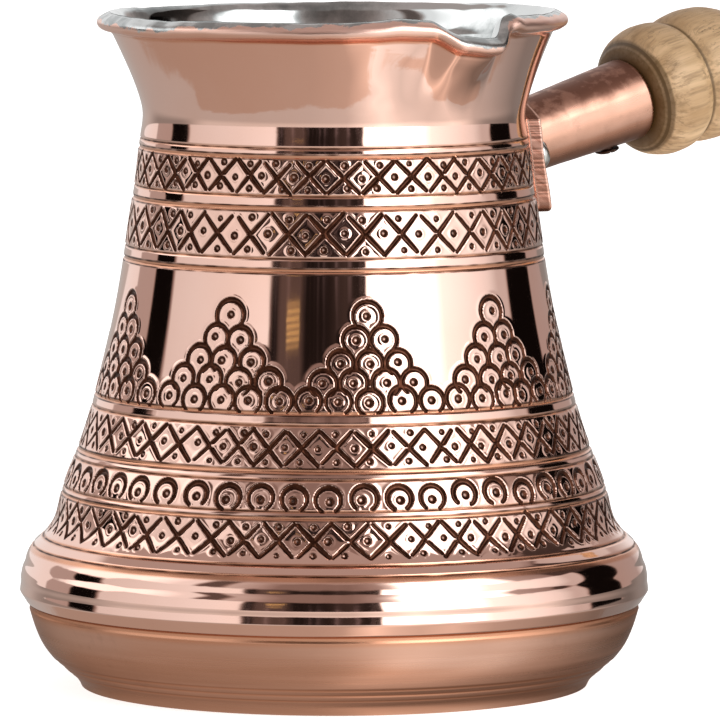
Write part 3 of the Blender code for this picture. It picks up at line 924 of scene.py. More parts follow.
def plate_face(across, up, depth):
    """A point of the bent plate: across from -1 to 1, up from 0 to 1, depth out from its back."""
    half_width = PLATE_HALF_ANGLE * float(wall_radius(RIVET_HEIGHT))
    from_corner = np.maximum(0.0, np.abs(across) * half_width - (half_width - PLATE_CORNER))
    corner = PLATE_CORNER - np.sqrt(np.maximum(PLATE_CORNER ** 2 - from_corner ** 2, 0.0))
    bottom = PLATE_BOTTOM + corner
    arch = np.maximum(np.cos(across * math.pi / 2), 0.0) ** PLATE_ARCH_FULLNESS
    top = PLATE_SIDE_TOP + PLATE_ARCH * arch
    height = bottom + up * (top - bottom)
    angle = across * PLATE_HALF_ANGLE
    stand_off = PLATE_STAND_OFF * (angle / PLATE_HALF_ANGLE) ** 2
    radius = wall_radius(height) + PLATE_GAP + stand_off + depth
    return polar(radius, angle, height)


def make_plate(material):
    """The bracket plate: hammered faces, rounded corners and sheared edges with cut marks."""
    across = np.sin(np.linspace(-1, 1, 121) * math.pi / 2)
    up = np.linspace(0.0, 1.0, 111)
    grid_across, grid_up = np.meshgrid(across, up[::-1])
    inset = grid_across * PLATE_INSET, 0.5 + (grid_up - 0.5) * PLATE_INSET
    front = plate_face(*inset, PLATE_THICKNESS)
    dents = 0.06 * np.sin(grid_across * 5.1 + 0.7) * np.sin(grid_up * 6.3 + 0.4)
    dents += 0.03 * np.sin(grid_across * 13.0 + grid_up * 9.0)
    outward = front * (1.0, 1.0, 0.0)
    front += dents[..., None] * outward / np.linalg.norm(outward, axis=-1)[..., None]
    back = plate_face(*inset, 0.0)
    loop = border(front)
    loop_back = border(back)
    true_edge = border(plate_face(grid_across, grid_up, PLATE_THICKNESS / 2))
    middle = (loop + loop_back) / 2
    outward = true_edge - middle
    outward /= np.maximum(np.linalg.norm(outward, axis=1), 1e-6)[:, None]
    gap = np.linalg.norm(true_edge - middle, axis=1)
    notches = cut_marks(len(loop))
    shares = np.array(PLATE_EDGE)[:, 0]
    rows = []
    for share, full in PLATE_EDGE:
        base = loop * (1 - share) + loop_back * share
        bite = notches * math.sin(share * math.pi) ** 0.5
        rows.append(base + outward * (full * gap - bite)[:, None])
    skin = Skin().grid(front, wrap=False, strip=(0.55, 1.0))
    # The edge faces are darkened through the patina mark, all but their rounded front and back
    dark = 1 - smooth_step(shares, 0.80, 0.95) - smooth_step(shares, 0.2, 0.05)
    marks = point_marks((len(rows), len(loop)), dark[:, None])
    skin.grid(np.array(rows)[:, ::-1], marks, strip=(0.45, 0.54))
    skin.grid(back, wrap=False, strip=(0.0, 0.44), flip=True)
    skin.finish("bracket_sheet", material, "brushed_copper", "bracket_plate")


def border(grid):
    """The outline of a grid of points, once round."""
    sides = (grid[0, :-1], grid[:-1, -1], grid[-1, :0:-1], grid[:0:-1, 0])
    return np.concatenate(sides)


def cut_marks(count):
    """Depths of the shear marks along an edge."""
    depth = np.zeros(count)
    at = np.arange(count)
    for _ in range(SHEAR_MARKS):
        place = RANDOM.uniform(0, count)
        width = RANDOM.uniform(0.5, 1.4)
        depth += RANDOM.uniform(0.02, 0.10) * bell(at - place, width)
    return depth


def rivet_matrix(side):
    """Where a rivet goes through the wall, with its axis square to it."""
    angle = side * RIVET_ANGLE
    radius = float(wall_radius(RIVET_HEIGHT))
    place = Vector((radius * math.cos(angle), radius * math.sin(angle), RIVET_HEIGHT)) * MM
    turn = Matrix.Rotation(angle, 4, "Z") @ Matrix.Rotation(math.pi / 2 - RIVET_TILT, 4, "Y")
    return Matrix.Translation(place) @ turn


def revolved(line, columns, shape):
    """A closed turned piece on its own axis, with poles at both ends."""
    points = shape(turned(np.asarray(line), columns))
    skin = Skin().grid(points, strip=(0.25, 1.0), folds=2)
    first, last = points[0].mean(0), points[-1].mean(0)
    skin.cap(points[0], first, spot=(0.12, 0.12), size=0.1, flip=True)
    return skin.cap(points[-1], last, spot=(0.36, 0.12), size=0.1)


def make_rivet(name, node, side, material):
    """A rivet through plate and wall, its head and tail domed by hammer blows."""
    stand_off = PLATE_STAND_OFF * (RIVET_ANGLE / PLATE_HALF_ANGLE) ** 2
    head = PLATE_THICKNESS + stand_off + RIVET_SEAT
    tail = -(WALL + RIVET_REACH)
    arc = np.linspace(0.03, math.pi / 2, 26)
    radius, rise = RIVET_HEAD
    dome = np.column_stack([radius * np.sin(arc), head + rise * np.cos(arc) ** 0.85])
    flat = np.column_stack([radius * np.cos(arc - arc[0]), tail - RIVET_TAIL * np.sin(arc)])
    shank = np.array([(RIVET_SHANK, head), (RIVET_SHANK, tail)])
    line = np.concatenate([dome, shank, flat[:-1]])

    def hammered(points):
        x, y, z = np.moveaxis(points, -1, 0)
        blow = 0.05 * np.sin(2.1 * x + 0.5 * side) * np.sin(2.6 * y + 1.0)
        blow += 0.03 * np.sin(4.7 * x + 1.3) * np.cos(3.9 * y + side)
        outer = smooth_step(z, head + 0.2, head + 1.0)
        return points - lifted((blow + 0.05) * outer)

    skin = revolved(line, 72, hammered)
    skin.finish(name, material, "rivet_metal", node, rivet_matrix(side))


def lifted(height):
    """Moves along Z, one for each point."""
    return np.stack([np.zeros_like(height), np.zeros_like(height), height], -1)


def handle_matrix():
    """The handle's own axes: its Z along the handle from the plate, its X down."""
    lean = Matrix.Rotation(math.pi / 2 - HANDLE_RISE, 4, "Y")
    return Matrix.Translation(HANDLE_START * MM) @ lean


def to_pot(points):
    """Points on the handle's axis frame, in millimetres, in the pot's frame."""
    along = np.array((math.cos(HANDLE_RISE), 0.0, math.sin(HANDLE_RISE)))
    down = np.array((math.sin(HANDLE_RISE), 0.0, -math.cos(HANDLE_RISE)))
    side = np.array((0.0, 1.0, 0.0))
    x, y, z = np.moveaxis(points, -1, 0)
    return np.array(HANDLE_START) + x[..., None] * down + y[..., None] * side + z[..., None] * along


def plate_distance(radius, angle):
    """Where a line beside the handle's axis meets the plate's front, along that axis."""
    low, high = np.full_like(angle, -8.0), np.full_like(angle, 8.0)
    for _ in range(30):
        middle = (low + high) / 2
        points = to_pot(polar(radius, angle, middle))
        across = np.arctan2(points[:, 1], points[:, 0]) / PLATE_HALF_ANGLE
        stand = PLATE_GAP + PLATE_THICKNESS + PLATE_STAND_OFF * across ** 2
        behind = np.hypot(points[:, 0], points[:, 1]) < wall_radius(points[:, 2]) + stand
        low, high = np.where(behind, middle, low), np.where(behind, high, middle)
    return (low + high) / 2


def ferrule_radius(distance):
    """Radius of the tapered tube at a distance along it."""
    share = distance / FERRULE_LENGTH
    root, end = FERRULE_RADII
    return root + share * (end - root)


def make_ferrule(material):
    """The tapered tube, from the plate's face out, with a lightly rolled mouth."""
    angle = angles(TUBE_COLUMNS)
    start = plate_distance(ferrule_radius(0.0), angle)
    share = np.linspace(0.0, 1.0, 150)
    along = start[None] + share[:, None] * (FERRULE_LENGTH - TUBE_ROLL - start[None])
    radius = ferrule_radius(along)
    radius += 0.03 * np.sin(along * 0.35 + 2 * np.sin(angle)[None]) * np.sin(2 * angle + 0.8)[None]
    radius += 0.008 * np.sin(along * 1.3 + 3 * angle[None])
    radius -= 0.05 * (1 + np.sin(2 * angle + 0.8)[None]) * smooth_step(along, 3.0, 9.0)
    rings = list(polar(radius, angle, along))
    for t in np.linspace(0.0, math.pi, 11)[1:]:
        roll = radius[-1] - FERRULE_WALL / 2 * (1 - math.cos(t))
        rings.append(polar(roll, angle, along[-1] + 0.42 * math.sin(t)))
    inner = radius[-1] - FERRULE_WALL
    for share in np.linspace(0.0, 1.0, 12):
        place = along[-1] + share * (start + 0.05 - along[-1])
        bore = inner + share * (ferrule_radius(0.0) - FERRULE_WALL - inner)
        rings.append(polar(bore, angle, place))
    skin = Skin().grid(np.array(rings + rings[:1]), strip=(0.0, 1.0), folds=2, flip=True)
    skin.finish("handle_tube", material, "brushed_copper", "handle_ferrule", handle_matrix())


def make_braze(material):
    """The fillet of brazing metal between tube and plate, run by hand."""
    angle = angles(TUBE_COLUMNS)
    run = 1 + ripples(angle, (2, 3, 5, 8, 13), 0.30)
    root = ferrule_radius(0.0)

    def row(spread, climb):
        radius = np.broadcast_to(root + spread, angle.shape)
        return polar(radius, angle, plate_distance(radius, angle) + climb)

    rows = []
    for t in np.linspace(0.0, math.pi / 2, 16):
        spread = BRAZE_GAP + BRAZE_SPREAD * run * (1 - math.cos(t))
        rows.append(row(spread, BRAZE_CLIMB * run * (1 - math.sin(t)) + 0.04))
    rows.append(row(BRAZE_GAP + 1.4 * run, -BRAZE_SINK))
    rows.append(row(BRAZE_GAP, -BRAZE_SINK))
    skin = Skin().grid(np.array(rows + rows[:1]), strip=(0.0, 1.0))
    skin.finish("brazed_seam", material, "braze", "braze_fillet", handle_matrix())


def make_screw(material):
    """The slotted screw under the tube."""
    radius, rise = SCREW_HEAD
    seat = ferrule_radius(SCREW_POSITION) + 0.1
    dome = [(radius * s, rise * (1 - 0.55 * s ** 4)) for s in np.linspace(0.03, 0.985, 44)]
    rim = [(radius, rise * 0.35), (radius, 0.0), (0.9, 0.0), (0.9, -4.8), (0.05, -5.9)]
    line = joined(np.array(dome), evenly([dome[-1]] + rim, 0.12))

    def slotted(points):
        x, y, z = np.moveaxis(points, -1, 0)
        in_slot = 1 - smooth_step(np.abs(x + 0.25 * y), 0.17, 0.30)
        top = smooth_step(z, 0.1, 0.2)
        return points - lifted(SCREW_SLOT * in_slot * top)

    place = Matrix.Translation(Vector((seat, 0.0, SCREW_POSITION)) * MM)
    matrix = handle_matrix() @ place @ Matrix.Rotation(math.pi / 2, 4, "Y")
    skin = revolved(line, 96, slotted)
    skin.finish("tube_screw", material, "screw_steel", "handle_screw", matrix)


def make_wood(material):
    """The turned handle: two beads, a neck, a swelling grip, an end knob and the tenon."""
    stations = [(radius, place) for place, radius in WOOD_STATIONS]
    groove = stations.index(WOOD_GROOVE)
    bead = smooth_line(stations[:groove + 1], 0.25)
    outer = joined(bead, smooth_line(stations[groove:] + [(POLE, 134.6)], 0.35))[::-1]
    shoulder = smooth_line(((7.9, 25.4), (7.6, 25.15), (6.9, 24.92), (6.2, SHOULDER)), 0.12)
    tenon_end = TENON_START + 1.0
    root, tip = (ferrule_radius(z) - FERRULE_WALL - TENON_GAP for z in (SHOULDER, tenon_end))
    tenon = [(6.2, SHOULDER), (root, SHOULDER), (tip, tenon_end), (tip - 0.8, TENON_START)]
    tenon.append((POLE, TENON_START))
    line = joined(outer, shoulder, evenly(tenon, 0.6))

    def worn(points):
        x, y, z = np.moveaxis(points, -1, 0)
        angle = np.arctan2(y, x)
        slip = 0.035 * np.sin(z * 0.42 + 1.1) * np.sin(2 * angle + 0.4)
        slip += 0.02 * np.sin(z * 2.1) + 0.012 * np.sin(7 * angle + z * 0.2)
        slip = (slip + 0.07) * smooth_step(z, 24.9, 27.0)
        return points * np.stack([1 - slip / 9, 1 - slip / 9, 1 - slip / 3000], -1)

    skin = revolved(line, 256, worn)
    skin.finish("turned_handle", material, "beech", "wooden_handle", handle_matrix())


# ---------------------------------------------------------------- materials

class Tree:
    """Short calls for building the node tree of a material or a world."""

    def __init__(self, owner):
        self.owner = owner
        owner.use_nodes = True
        self.tree = owner.node_tree

    def node(self, kind, inputs=None, **settings):
        made = self.tree.nodes.new("ShaderNode" + kind)
        for key, value in settings.items():
            setattr(made, key, value)
        for key, value in (inputs or {}).items():
            self.feed(made.inputs[key], value)
        return made

    def feed(self, socket, value):
        if isinstance(value, bpy.types.NodeSocket):
            self.tree.links.new(value, socket)
        elif isinstance(value, tuple) and socket.type == "RGBA":
            socket.default_value = (*value, 1.0)
        else:
            socket.default_value = value

    def math(self, operation, first, second=0.0, clamp=False):
        made = self.node("Math", {0: first, 1: second}, operation=operation, use_clamp=clamp)
        return made.outputs[0]

    def plus(self, first, second, clamp=False):
        return self.math("ADD", first, second, clamp)

    def minus(self, first, second, clamp=False):
        return self.math("SUBTRACT", first, second, clamp)

    def times(self, first, second, clamp=False):
        return self.math("MULTIPLY", first, second, clamp)

    def absolute(self, value):
        return self.math("ABSOLUTE", value)

    def parts(self, vector):
        return self.node("SeparateXYZ", {0: vector}).outputs

    def scaled(self, vector, scale):
        return self.node("VectorMath", {0: vector, "Scale": scale}, operation="SCALE").outputs[0]

    def vectors(self, operation, first, second):
        return self.node("VectorMath", {0: first, 1: second}, operation=operation).outputs[0]

    def mix(self, share, first, second):
        made = self.node("Mix", data_type="RGBA")
        self.feed(made.inputs[0], share)
        self.feed(made.inputs[6], first)
        self.feed(made.inputs[7], second)
        return made.outputs[2]

    def ramp(self, value, low, high, to_low=0.0, to_high=1.0):
        made = self.node("MapRange", {"Value": value, "From Min": low, "From Max": high})
        made.interpolation_type = "SMOOTHSTEP"
        self.feed(made.inputs["To Min"], to_low)
        self.feed(made.inputs["To Max"], to_high)
        return made.outputs[0]

    def noise(self, place, scale, detail=3.0, roughness=0.55):
        inputs = {"Vector": place, "Scale": scale, "Detail": detail, "Roughness": roughness}
        return self.node("TexNoise", inputs).outputs["Fac"]

    def uneven(self, place, scale, detail):
        """Noise on both sides of 0."""
        return self.minus(self.noise(place, scale, detail), 0.5)

    def steps(self, share, stations):
        """Brightness round the pot by turn, from a share of the whole turn."""
        ramp = self.node("ValToRGB", {"Fac": share})
        stops = ramp.color_ramp.elements
        brightest = max(value for _, value in stations)
        for k, (turn, value) in enumerate(stations):
            at = (turn + 180.0) / 360.0
            stop = stops[0] if k == 0 else (stops[-1] if at >= 1.0 else stops.new(at))
            stop.position = at
            stop.color = (value / brightest,) * 3 + (1.0,)
        return self.scaled(ramp.outputs[0], brightest)

    def attribute(self, name):
        return self.node("Attribute", attribute_name=name).outputs["Fac"]

    def place(self):
        """Coordinates on the piece's own axes: the handle's for the handle, else the pot's."""
        return self.node("Attribute", attribute_name="own_place").outputs["Vector"]

    def fibres(self, place, scales, detail, roughness=0.55):
        """Noise with its own scale along each axis."""
        stretched = self.node("Mapping", {"Vector": place, "Scale": scales}).outputs[0]
        return self.noise(stretched, 1.0, detail, roughness)

    def lines(self, place, scale, detail, roughness=0.55):
        """Noise that changes quickly along a turned outline and slowly round the axis."""
        x, y, z = self.parts(place)
        across = self.math("POWER", self.plus(self.times(x, x), self.times(y, y)), 0.5)
        fast = self.times(self.plus(z, self.times(across, 0.7)), scale)
        slow = {0: self.times(x, SLOW_GRAIN), 1: self.times(y, SLOW_GRAIN)}
        turned_place = self.node("CombineXYZ", {**slow, 2: fast}).outputs[0]
        return self.noise(turned_place, 1.0, detail, roughness)

    def bump(self, height, strength, distance):
        inputs = {"Height": height, "Strength": strength, "Distance": distance}
        return self.node("Bump", inputs).outputs[0]

    def set(self, **inputs):
        shader = self.tree.nodes["Principled BSDF"]
        for key, value in inputs.items():
            self.feed(shader.inputs[key.replace("_", " ")], value)
        return self.owner

    def metal(self, colour, roughness, normal):
        return self.set(Base_Color=colour, Metallic=1.0, Roughness=roughness, Normal=normal)


def new_material(name):
    return Tree(bpy.data.materials.new(name))


def shaded(share, colour):
    """The same hue, darker or lighter by this share."""
    return tuple(share * part for part in colour)


def polished_copper():
    """Buffed copper, patina in the cuts, painted warm shade in the turned grooves, tin wiped over
    the rim.
    """
    t = new_material("polished copper")
    place = t.place()
    patina, groove, tinned = (t.attribute(name) for name in MARKS)
    cloud = t.noise(place, 45.0, 4.0)
    grain = t.noise(place, 900.0, 3.0)
    lines = t.lines(place, 1400.0, 3.0)
    colour = t.mix(t.ramp(cloud, 0.35, 0.75, 0.0, 0.30), COPPER, COPPER_DEEP)
    # Painted warm shade where the groove mark lies
    colour = t.mix(t.times(groove, 0.9), colour, PAINTED_GROOVE_SHADE)
    stained = t.mix(t.ramp(grain, 0.3, 0.75), PATINA, shaded(2.2, PATINA))
    colour = t.mix(t.ramp(patina, 0.04, 0.80), colour, stained)
    ragged = t.plus(tinned, t.times(t.uneven(place, 260.0, 4.0), 0.75))
    tin = t.times(t.ramp(ragged, 0.47, 0.53), t.ramp(tinned, 0.02, 0.1))
    dull = t.ramp(t.noise(place, 330.0, 4.0), 0.36, 0.60, 0.10, 0.65)
    colour = t.mix(tin, colour, t.mix(dull, TIN, TIN_DARK))
    polish = t.ramp(cloud, 0.3, 0.8, 0.035, 0.085)
    rough = t.plus(polish, t.times(patina, 0.34))
    rough = t.plus(rough, t.times(groove, 0.12))
    rough = t.plus(rough, t.times(t.ramp(tinned, 0.0, 0.15), 0.27))
    rough = t.minus(rough, t.times(tin, 0.10), clamp=True)
    crust = t.times(t.times(grain, patina), 6.0)
    normal = t.bump(t.plus(t.times(lines, 0.25), crust), 0.10, GRAIN_RELIEF)
    return t.metal(colour, rough, normal)


def brushed_copper(name, tones, spread, stains):
    """Copper brushed round its axis, with darker tarnish where stains is above 0."""
    t = new_material(name)
    place = t.place()
    groove, patina = t.attribute("groove"), t.attribute("patina")
    fine = t.lines(place, 900.0, 4.0, 0.7)
    coarse = t.lines(place, 220.0, 3.0)
    cloud = t.noise(place, 60.0, 4.0)
    colour = t.mix(t.ramp(coarse, 0.3, 0.75), *tones)
    # Painted warm shade where the groove mark lies
    colour = t.mix(t.times(groove, 0.85), colour, PAINTED_GROOVE_SHADE)
    colour = t.mix(t.times(patina, t.ramp(fine, 0.25, 0.7, 1.0, 0.8)), colour, STAIN_AND_SHADE)
    tarnish = t.times(t.ramp(cloud, 0.45, 0.72), stains)
    speckle = t.ramp(t.noise(place, 700.0, 3.0), 0.5, 0.75, 0.4, 1.0)
    colour = t.mix(t.times(tarnish, speckle), colour, STAIN_AND_SHADE)
    rough = t.ramp(fine, 0.25, 0.8, *spread)
    rough = t.plus(rough, t.times(tarnish, 0.2), clamp=True)
    normal = t.bump(t.plus(fine, t.times(coarse, 0.6)), 0.35, GRAIN_RELIEF)
    t.set(Specular_Tint=EDGE_DARKNESS)
    return t.metal(colour, rough, normal)


def tube_copper():
    """Copper of the tube: brushed, with brown heat stains along its top and painted shade along its
    underside.
    """
    t = new_material("heat stained copper")
    place = t.place()
    down, _, along = t.parts(place)
    upper = t.ramp(down, -0.0008, -0.0046)
    # Painted shade along the underside of the tube
    lower = t.ramp(down, 0.0018, 0.0052)
    cloud = t.noise(place, 420.0, 4.0)
    wide = t.noise(place, 130.0, 3.0)
    lines = t.fibres(place, (900.0, 900.0, 60.0), 3.0)
    mottle = t.ramp(t.plus(cloud, t.times(wide, 0.8)), 0.74, 1.00, 0.66, 1.12)
    # Heat stains on top, painted shade underneath, and scattered stains
    stain_and_shade = t.times(upper, mottle)
    stain_and_shade = t.plus(stain_and_shade, t.times(lower, 0.8))
    stain_and_shade = t.plus(stain_and_shade, t.times(t.ramp(cloud, 0.52, 0.8), 0.22), clamp=True)
    mouth = t.ramp(along, 0.0236, 0.0243)
    stain_and_shade = t.times(stain_and_shade, t.minus(1.0, t.times(mouth, 0.7)))
    colour = t.mix(t.ramp(wide, 0.3, 0.7), COPPER_DEEP, TUBE_COPPER)
    colour = t.mix(t.times(stain_and_shade, 0.85), colour, STAIN_AND_SHADE)
    rough = t.ramp(lines, 0.2, 0.8, 0.17, 0.30)
    rough = t.plus(rough, t.times(stain_and_shade, 0.16), clamp=True)
    normal = t.bump(t.plus(lines, t.times(cloud, 0.4)), 0.25, GRAIN_RELIEF)
    return t.metal(colour, rough, normal)


def wiped_tin():
    """Hand-wiped tin: grey, glossy in places, with streaks and small beads."""
    t = new_material("wiped tin")
    place = t.place()
    wipe = t.lines(place, 110.0, 3.0)
    beads = t.noise(place, 520.0, 4.0, 0.65)
    cloud = t.noise(place, 70.0, 3.0)
    smear = t.plus(t.times(wipe, 0.6), t.times(cloud, 0.4))
    smear = t.plus(smear, t.times(beads, 0.12))
    colour = t.mix(t.ramp(smear, 0.52, 0.70), TIN, TIN_DARK)
    rough = t.ramp(cloud, 0.3, 0.7, 0.04, 0.09)
    rough = t.plus(rough, t.ramp(beads, 0.55, 0.8, 0.0, 0.08))
    normal = t.bump(t.plus(wipe, t.times(beads, 0.15)), 0.12, 0.00008)
    return t.metal(colour, rough, normal)


def cast_metal(name, colour, dark, roughness, strength):
    """A small piece of metal with fine pitting and worn tone."""
    t = new_material(name)
    place = t.place()
    pits = t.noise(place, 900.0, 4.0, 0.6)
    cloud = t.noise(place, 300.0, 3.0)
    shade = t.mix(t.ramp(t.plus(pits, cloud), 0.85, 1.2), colour, dark)
    rough = t.ramp(cloud, 0.3, 0.7, *roughness)
    normal = t.bump(pits, strength, 0.00005)
    return t.metal(shade, rough, normal)


def beech():
    """Oiled beech along the turning axis: grain, ray flecks, checks, and a shoulder darkened by its
    end grain and by painted shade.
    """
    t = new_material("beech")
    place = t.place()
    distance = t.parts(place)[2]
    rings = t.fibres(place, (260.0, 260.0, 9.0), 5.0, 0.6)
    fibres = t.fibres(place, (1500.0, 1500.0, 45.0), 4.0, 0.7)
    flecks = t.fibres(place, (700.0, 2600.0, 240.0), 2.0)
    cracks = t.fibres(place, (900.0, 900.0, 120.0), 2.0)
    cloud = t.noise(place, 55.0, 3.0)
    colour = t.mix(t.ramp(rings, 0.32, 0.68), BEECH_LIGHT, BEECH_DARK)
    colour = t.mix(t.ramp(fibres, 0.44, 0.66, 0.0, 0.66), colour, shaded(0.62, BEECH_DARK))
    colour = t.mix(t.ramp(flecks, 0.64, 0.72, 0.0, 0.5), colour, shaded(0.45, BEECH_DARK))
    colour = t.mix(t.ramp(cloud, 0.4, 0.7, 0.0, 0.35), colour, BEECH_LIGHT)
    crack = t.times(t.ramp(cracks, 0.492, 0.5), t.ramp(cracks, 0.508, 0.5))
    crack = t.times(crack, t.ramp(cloud, 0.5, 0.6))
    colour = t.mix(t.times(crack, 0.8), colour, DARK_WOOD_AND_SHADE)
    # The shoulder's end face, which faces the pot: darker end grain with painted shade, scored
    # across by fine lines
    worn = t.plus(distance, t.times(t.uneven(place, 55.0, 3.0), 0.0016))
    end_grain_and_shade = t.ramp(worn, 0.0262, 0.0258)
    scores = t.fibres(place, (0.0, 0.0, 2600.0), 1.0)
    scored = t.ramp(scores, 0.40, 0.62, 0.72, 1.0)
    end_grain_and_shade = t.times(end_grain_and_shade, scored)
    # Darker along the groove between the two beads
    line = t.times(t.ramp(distance, 0.0334, 0.0337), t.ramp(distance, 0.0342, 0.0339))
    colour = t.mix(t.times(end_grain_and_shade, 0.97), colour, DARK_WOOD_AND_SHADE)
    colour = t.mix(t.times(line, 0.75), colour, DARK_WOOD_AND_SHADE)
    rough = t.ramp(fibres, 0.3, 0.7, 0.42, 0.58)
    normal = t.bump(t.minus(fibres, t.times(crack, 2.0)), 0.4, 0.00006)
    return t.set(Base_Color=colour, Roughness=rough, Normal=normal)


# ---------------------------------------------------------------- studio

def make_studio():
    """A white tent with a low dark opening round the camera, a bright side and two dark gaps."""
    world = bpy.data.worlds.new("studio")
    bpy.context.scene.world = world
    t = Tree(world)
    direction = t.node("TexCoord").outputs["Generated"]
    facing = t.node("VectorRotate", {"Vector": direction, "Angle": math.radians(-CAMERA_TURN)})
    x, y, height = t.parts(facing.outputs[0])
    angle = t.math("ARCTAN2", y, x)
    # The tent's seams and the table's edge waver by this noise
    wobble = t.uneven(direction, 7.0, 4.0)
    share = t.plus(t.math("DIVIDE", angle, math.tau), 0.5)
    share = t.plus(share, t.times(wobble, 0.006))
    sky = tent_walls(t, share, angle, height, wobble)
    sky = t.vectors("ADD", sky, side_glints(t, share, angle, height))
    sky = t.vectors("ADD", sky, far_shelves(t, direction, angle, height))
    table = mirrored_table(t, direction, share, angle, height, wobble)
    seen = t.mix(t.ramp(height, -0.004, 0.004), table, sky)
    camera = t.node("LightPath").outputs["Is Camera Ray"]
    shown = t.mix(camera, seen, (BACKDROP,) * 3)
    t.feed(t.tree.nodes["Background"].inputs["Color"], shown)


def turn_ramp(t, angle, start, end, to_start, to_end):
    """A value that changes between two turns from the camera, in degrees."""
    return t.ramp(angle, math.radians(start), math.radians(end), to_start, to_end)


def tent_walls(t, share, angle, height, wobble):
    """The tent by turn, below and above the edge of its opening, under a plain top."""
    edge = t.plus(height, t.times(wobble, 0.14))
    edge = t.plus(edge, turn_ramp(t, angle, -96, -88, OPENING_LOWER_LEFT, 0.0))
    above = t.ramp(edge, *OPENING_TOP)
    walls = t.mix(above, t.steps(share, STUDIO), t.steps(share, STUDIO_ABOVE))
    sky = t.mix(t.ramp(edge, 0.72, 0.80), walls, (STUDIO_TOP,) * 3)
    brightness = t.node("RGBToBW", {0: sky}).outputs[0]
    tint = t.mix(t.ramp(brightness, 0.05, 0.85), SHADE_TINT, WHITE)
    return t.vectors("MULTIPLY", sky, tint)


def side_glints(t, share, angle, height):
    """Faint upright glints in the opening."""
    bars = t.noise(t.node("CombineXYZ", {0: t.times(share, 110.0)}).outputs[0], 1.0, 2.0)
    facing = t.ramp(t.absolute(t.plus(angle, 0.14)), 0.46, 0.42)
    facing = t.times(facing, t.ramp(height, 0.30, 0.14, 0.15, 1.0))
    return t.scaled(GLINT_TINT, t.times(t.ramp(bars, 0.48, 0.72, 0.0, 0.16), facing))


def far_shelves(t, direction, angle, height):
    """A narrow stack of yellow shelves, seen in the opening."""
    from_shelf = t.absolute(t.minus(angle, SHELF_TURN))
    from_shelf = t.plus(from_shelf, t.times(t.noise(direction, 150.0, 1.0), 0.03))
    shelf = t.ramp(from_shelf, SHELF_HALF_WIDTH + 0.022, SHELF_HALF_WIDTH + 0.008)
    rungs = t.math("SINE", t.times(height, math.tau / SHELF_SPACING))
    foot, full, thin, gone = SHELF_HEIGHTS
    for part in (t.ramp(rungs, -0.1, 0.4), t.ramp(height, foot, full), t.ramp(height, gone, thin)):
        shelf = t.times(shelf, part)
    return t.scaled(SHELF_TINT, shelf)


def mirrored_table(t, direction, share, angle, height, wobble):
    """The table as the metal mirrors it: lit near the pot, paler past a ragged edge."""
    level = TABLE_EDGE
    for start, end, change in TABLE_EDGE_STEPS:
        level = t.plus(level, turn_ramp(t, angle, start, end, 0.0, change))
    ragged = t.times(t.uneven(direction, 45.0, 2.0), 0.07)
    ragged = t.plus(ragged, t.times(wobble, 0.12))
    far = t.ramp(t.minus(t.plus(height, ragged), level), -0.02, 0.02)
    table = t.mix(far, TABLE_NEAR, TABLE_FAR)
    aside = t.absolute(angle)
    horizon = turn_ramp(t, aside, 80, 106, 1.35, 0.60)
    rim_light = turn_ramp(t, aside, 130, 152, 0.0, 0.5)
    glow = t.ramp(height, -0.22, -0.04, 1.0, t.plus(horizon, rim_light))
    return t.vectors("MULTIPLY", t.scaled(table, glow), t.steps(share, TABLE_LIGHT))


def make_floor():
    """A pale table top. Metal mirrors the studio's own table tone instead of this plane."""
    mesh = bpy.data.meshes.new("table")
    near, far = -FLOOR_HALF_SIZE, FLOOR_HALF_SIZE
    corners = [(x, y, -FLOOR_DROP) for x, y in ((near, near), (far, near), (far, far), (near, far))]
    mesh.from_pydata(corners, [], [(0, 1, 2, 3)])
    floor = bpy.data.objects.new("table", mesh)
    bpy.context.scene.collection.objects.link(floor)
    t = new_material("white table")
    tone = t.ramp(t.noise(t.place(), 3.0), 0.3, 0.7, 0.93, 0.95)
    colour = t.node("CombineColor", {0: tone, 1: tone, 2: tone}).outputs[0]
    glow = {"Emission_Color": WHITE, "Emission_Strength": FLOOR_GLOW}
    mesh.materials.append(t.set(Base_Color=colour, Roughness=0.9, **glow))
    floor.visible_glossy = False


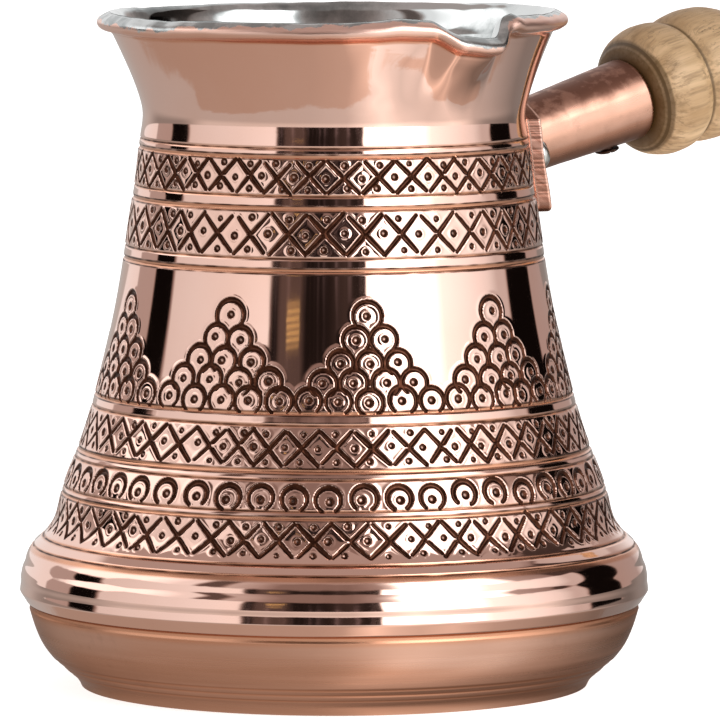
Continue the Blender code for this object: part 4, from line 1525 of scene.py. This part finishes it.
def make_camera():
    """The camera: far off on a long lens, a little above the pot and looking slightly down."""
    data = bpy.data.cameras.new("camera")
    data.sensor_width = 36.0
    data.lens = CAMERA_LENS
    data.clip_end = 30.0
    camera = bpy.data.objects.new("camera", data)
    bpy.context.scene.collection.objects.link(camera)
    sine, cosine = math.sin(CAMERA_FACING), math.cos(CAMERA_FACING)
    forward = Vector((sine, cosine, 0.0))
    right = Vector((cosine, -sine, 0.0))
    camera.location = -forward * CAMERA_DISTANCE + Vector((0.0, 0.0, CAMERA_HEIGHT))
    level = forward * math.cos(CAMERA_PAN) + right * math.sin(CAMERA_PAN)
    look = level * math.cos(CAMERA_PITCH) - Vector((0.0, 0.0, math.sin(CAMERA_PITCH)))
    camera.rotation_euler = look.to_track_quat("-Z", "Y").to_euler()
    bpy.context.scene.camera = camera


# ---------------------------------------------------------------- the object

def make_wall(copper):
    """The chased wall, ring by ring. The scales run on over two of them."""
    scales = scale_cuts()
    cuts = {name: diamond_cuts(*band) for name, band in DIAMOND_BANDS.items()}
    cuts["chased_horseshoes"] = horseshoe_cuts()
    for name, top, bottom in WALL_RINGS:
        wall_ring(name, top, bottom, cuts.get(name, scales), copper)


def main():
    bpy.context.scene.view_settings.view_transform = "Standard"
    make_camera()
    make_studio()
    make_floor()
    copper = polished_copper()
    base_copper = brushed_copper("brushed copper", (BASE_COPPER, BASE_DEEP), (0.24, 0.38), 0.15)
    plate_copper = brushed_copper("sheet copper", (COPPER, COPPER_DEEP), (0.18, 0.32), 0.6)
    make_neck(copper)
    make_wall(copper)
    make_bulge(copper)
    make_base(base_copper)
    make_tin(wiped_tin())
    make_plate(plate_copper)
    dull = shaded(0.6, RIVET_WHITE)
    silver = cast_metal("white rivet metal", RIVET_WHITE, dull, (0.16, 0.30), 0.4)
    make_rivet("rivet_dome_left", "rivet_left", 1, silver)
    make_rivet("rivet_dome_right", "rivet_right", -1, silver)
    make_ferrule(tube_copper())
    make_braze(cast_metal("braze", BRAZE, STAIN_AND_SHADE, (0.26, 0.42), 0.6))
    make_screw(cast_metal("blackened steel", SCREW_STEEL, SCREW_WORN, (0.30, 0.5), 0.5))
    make_wood(beech())


main()
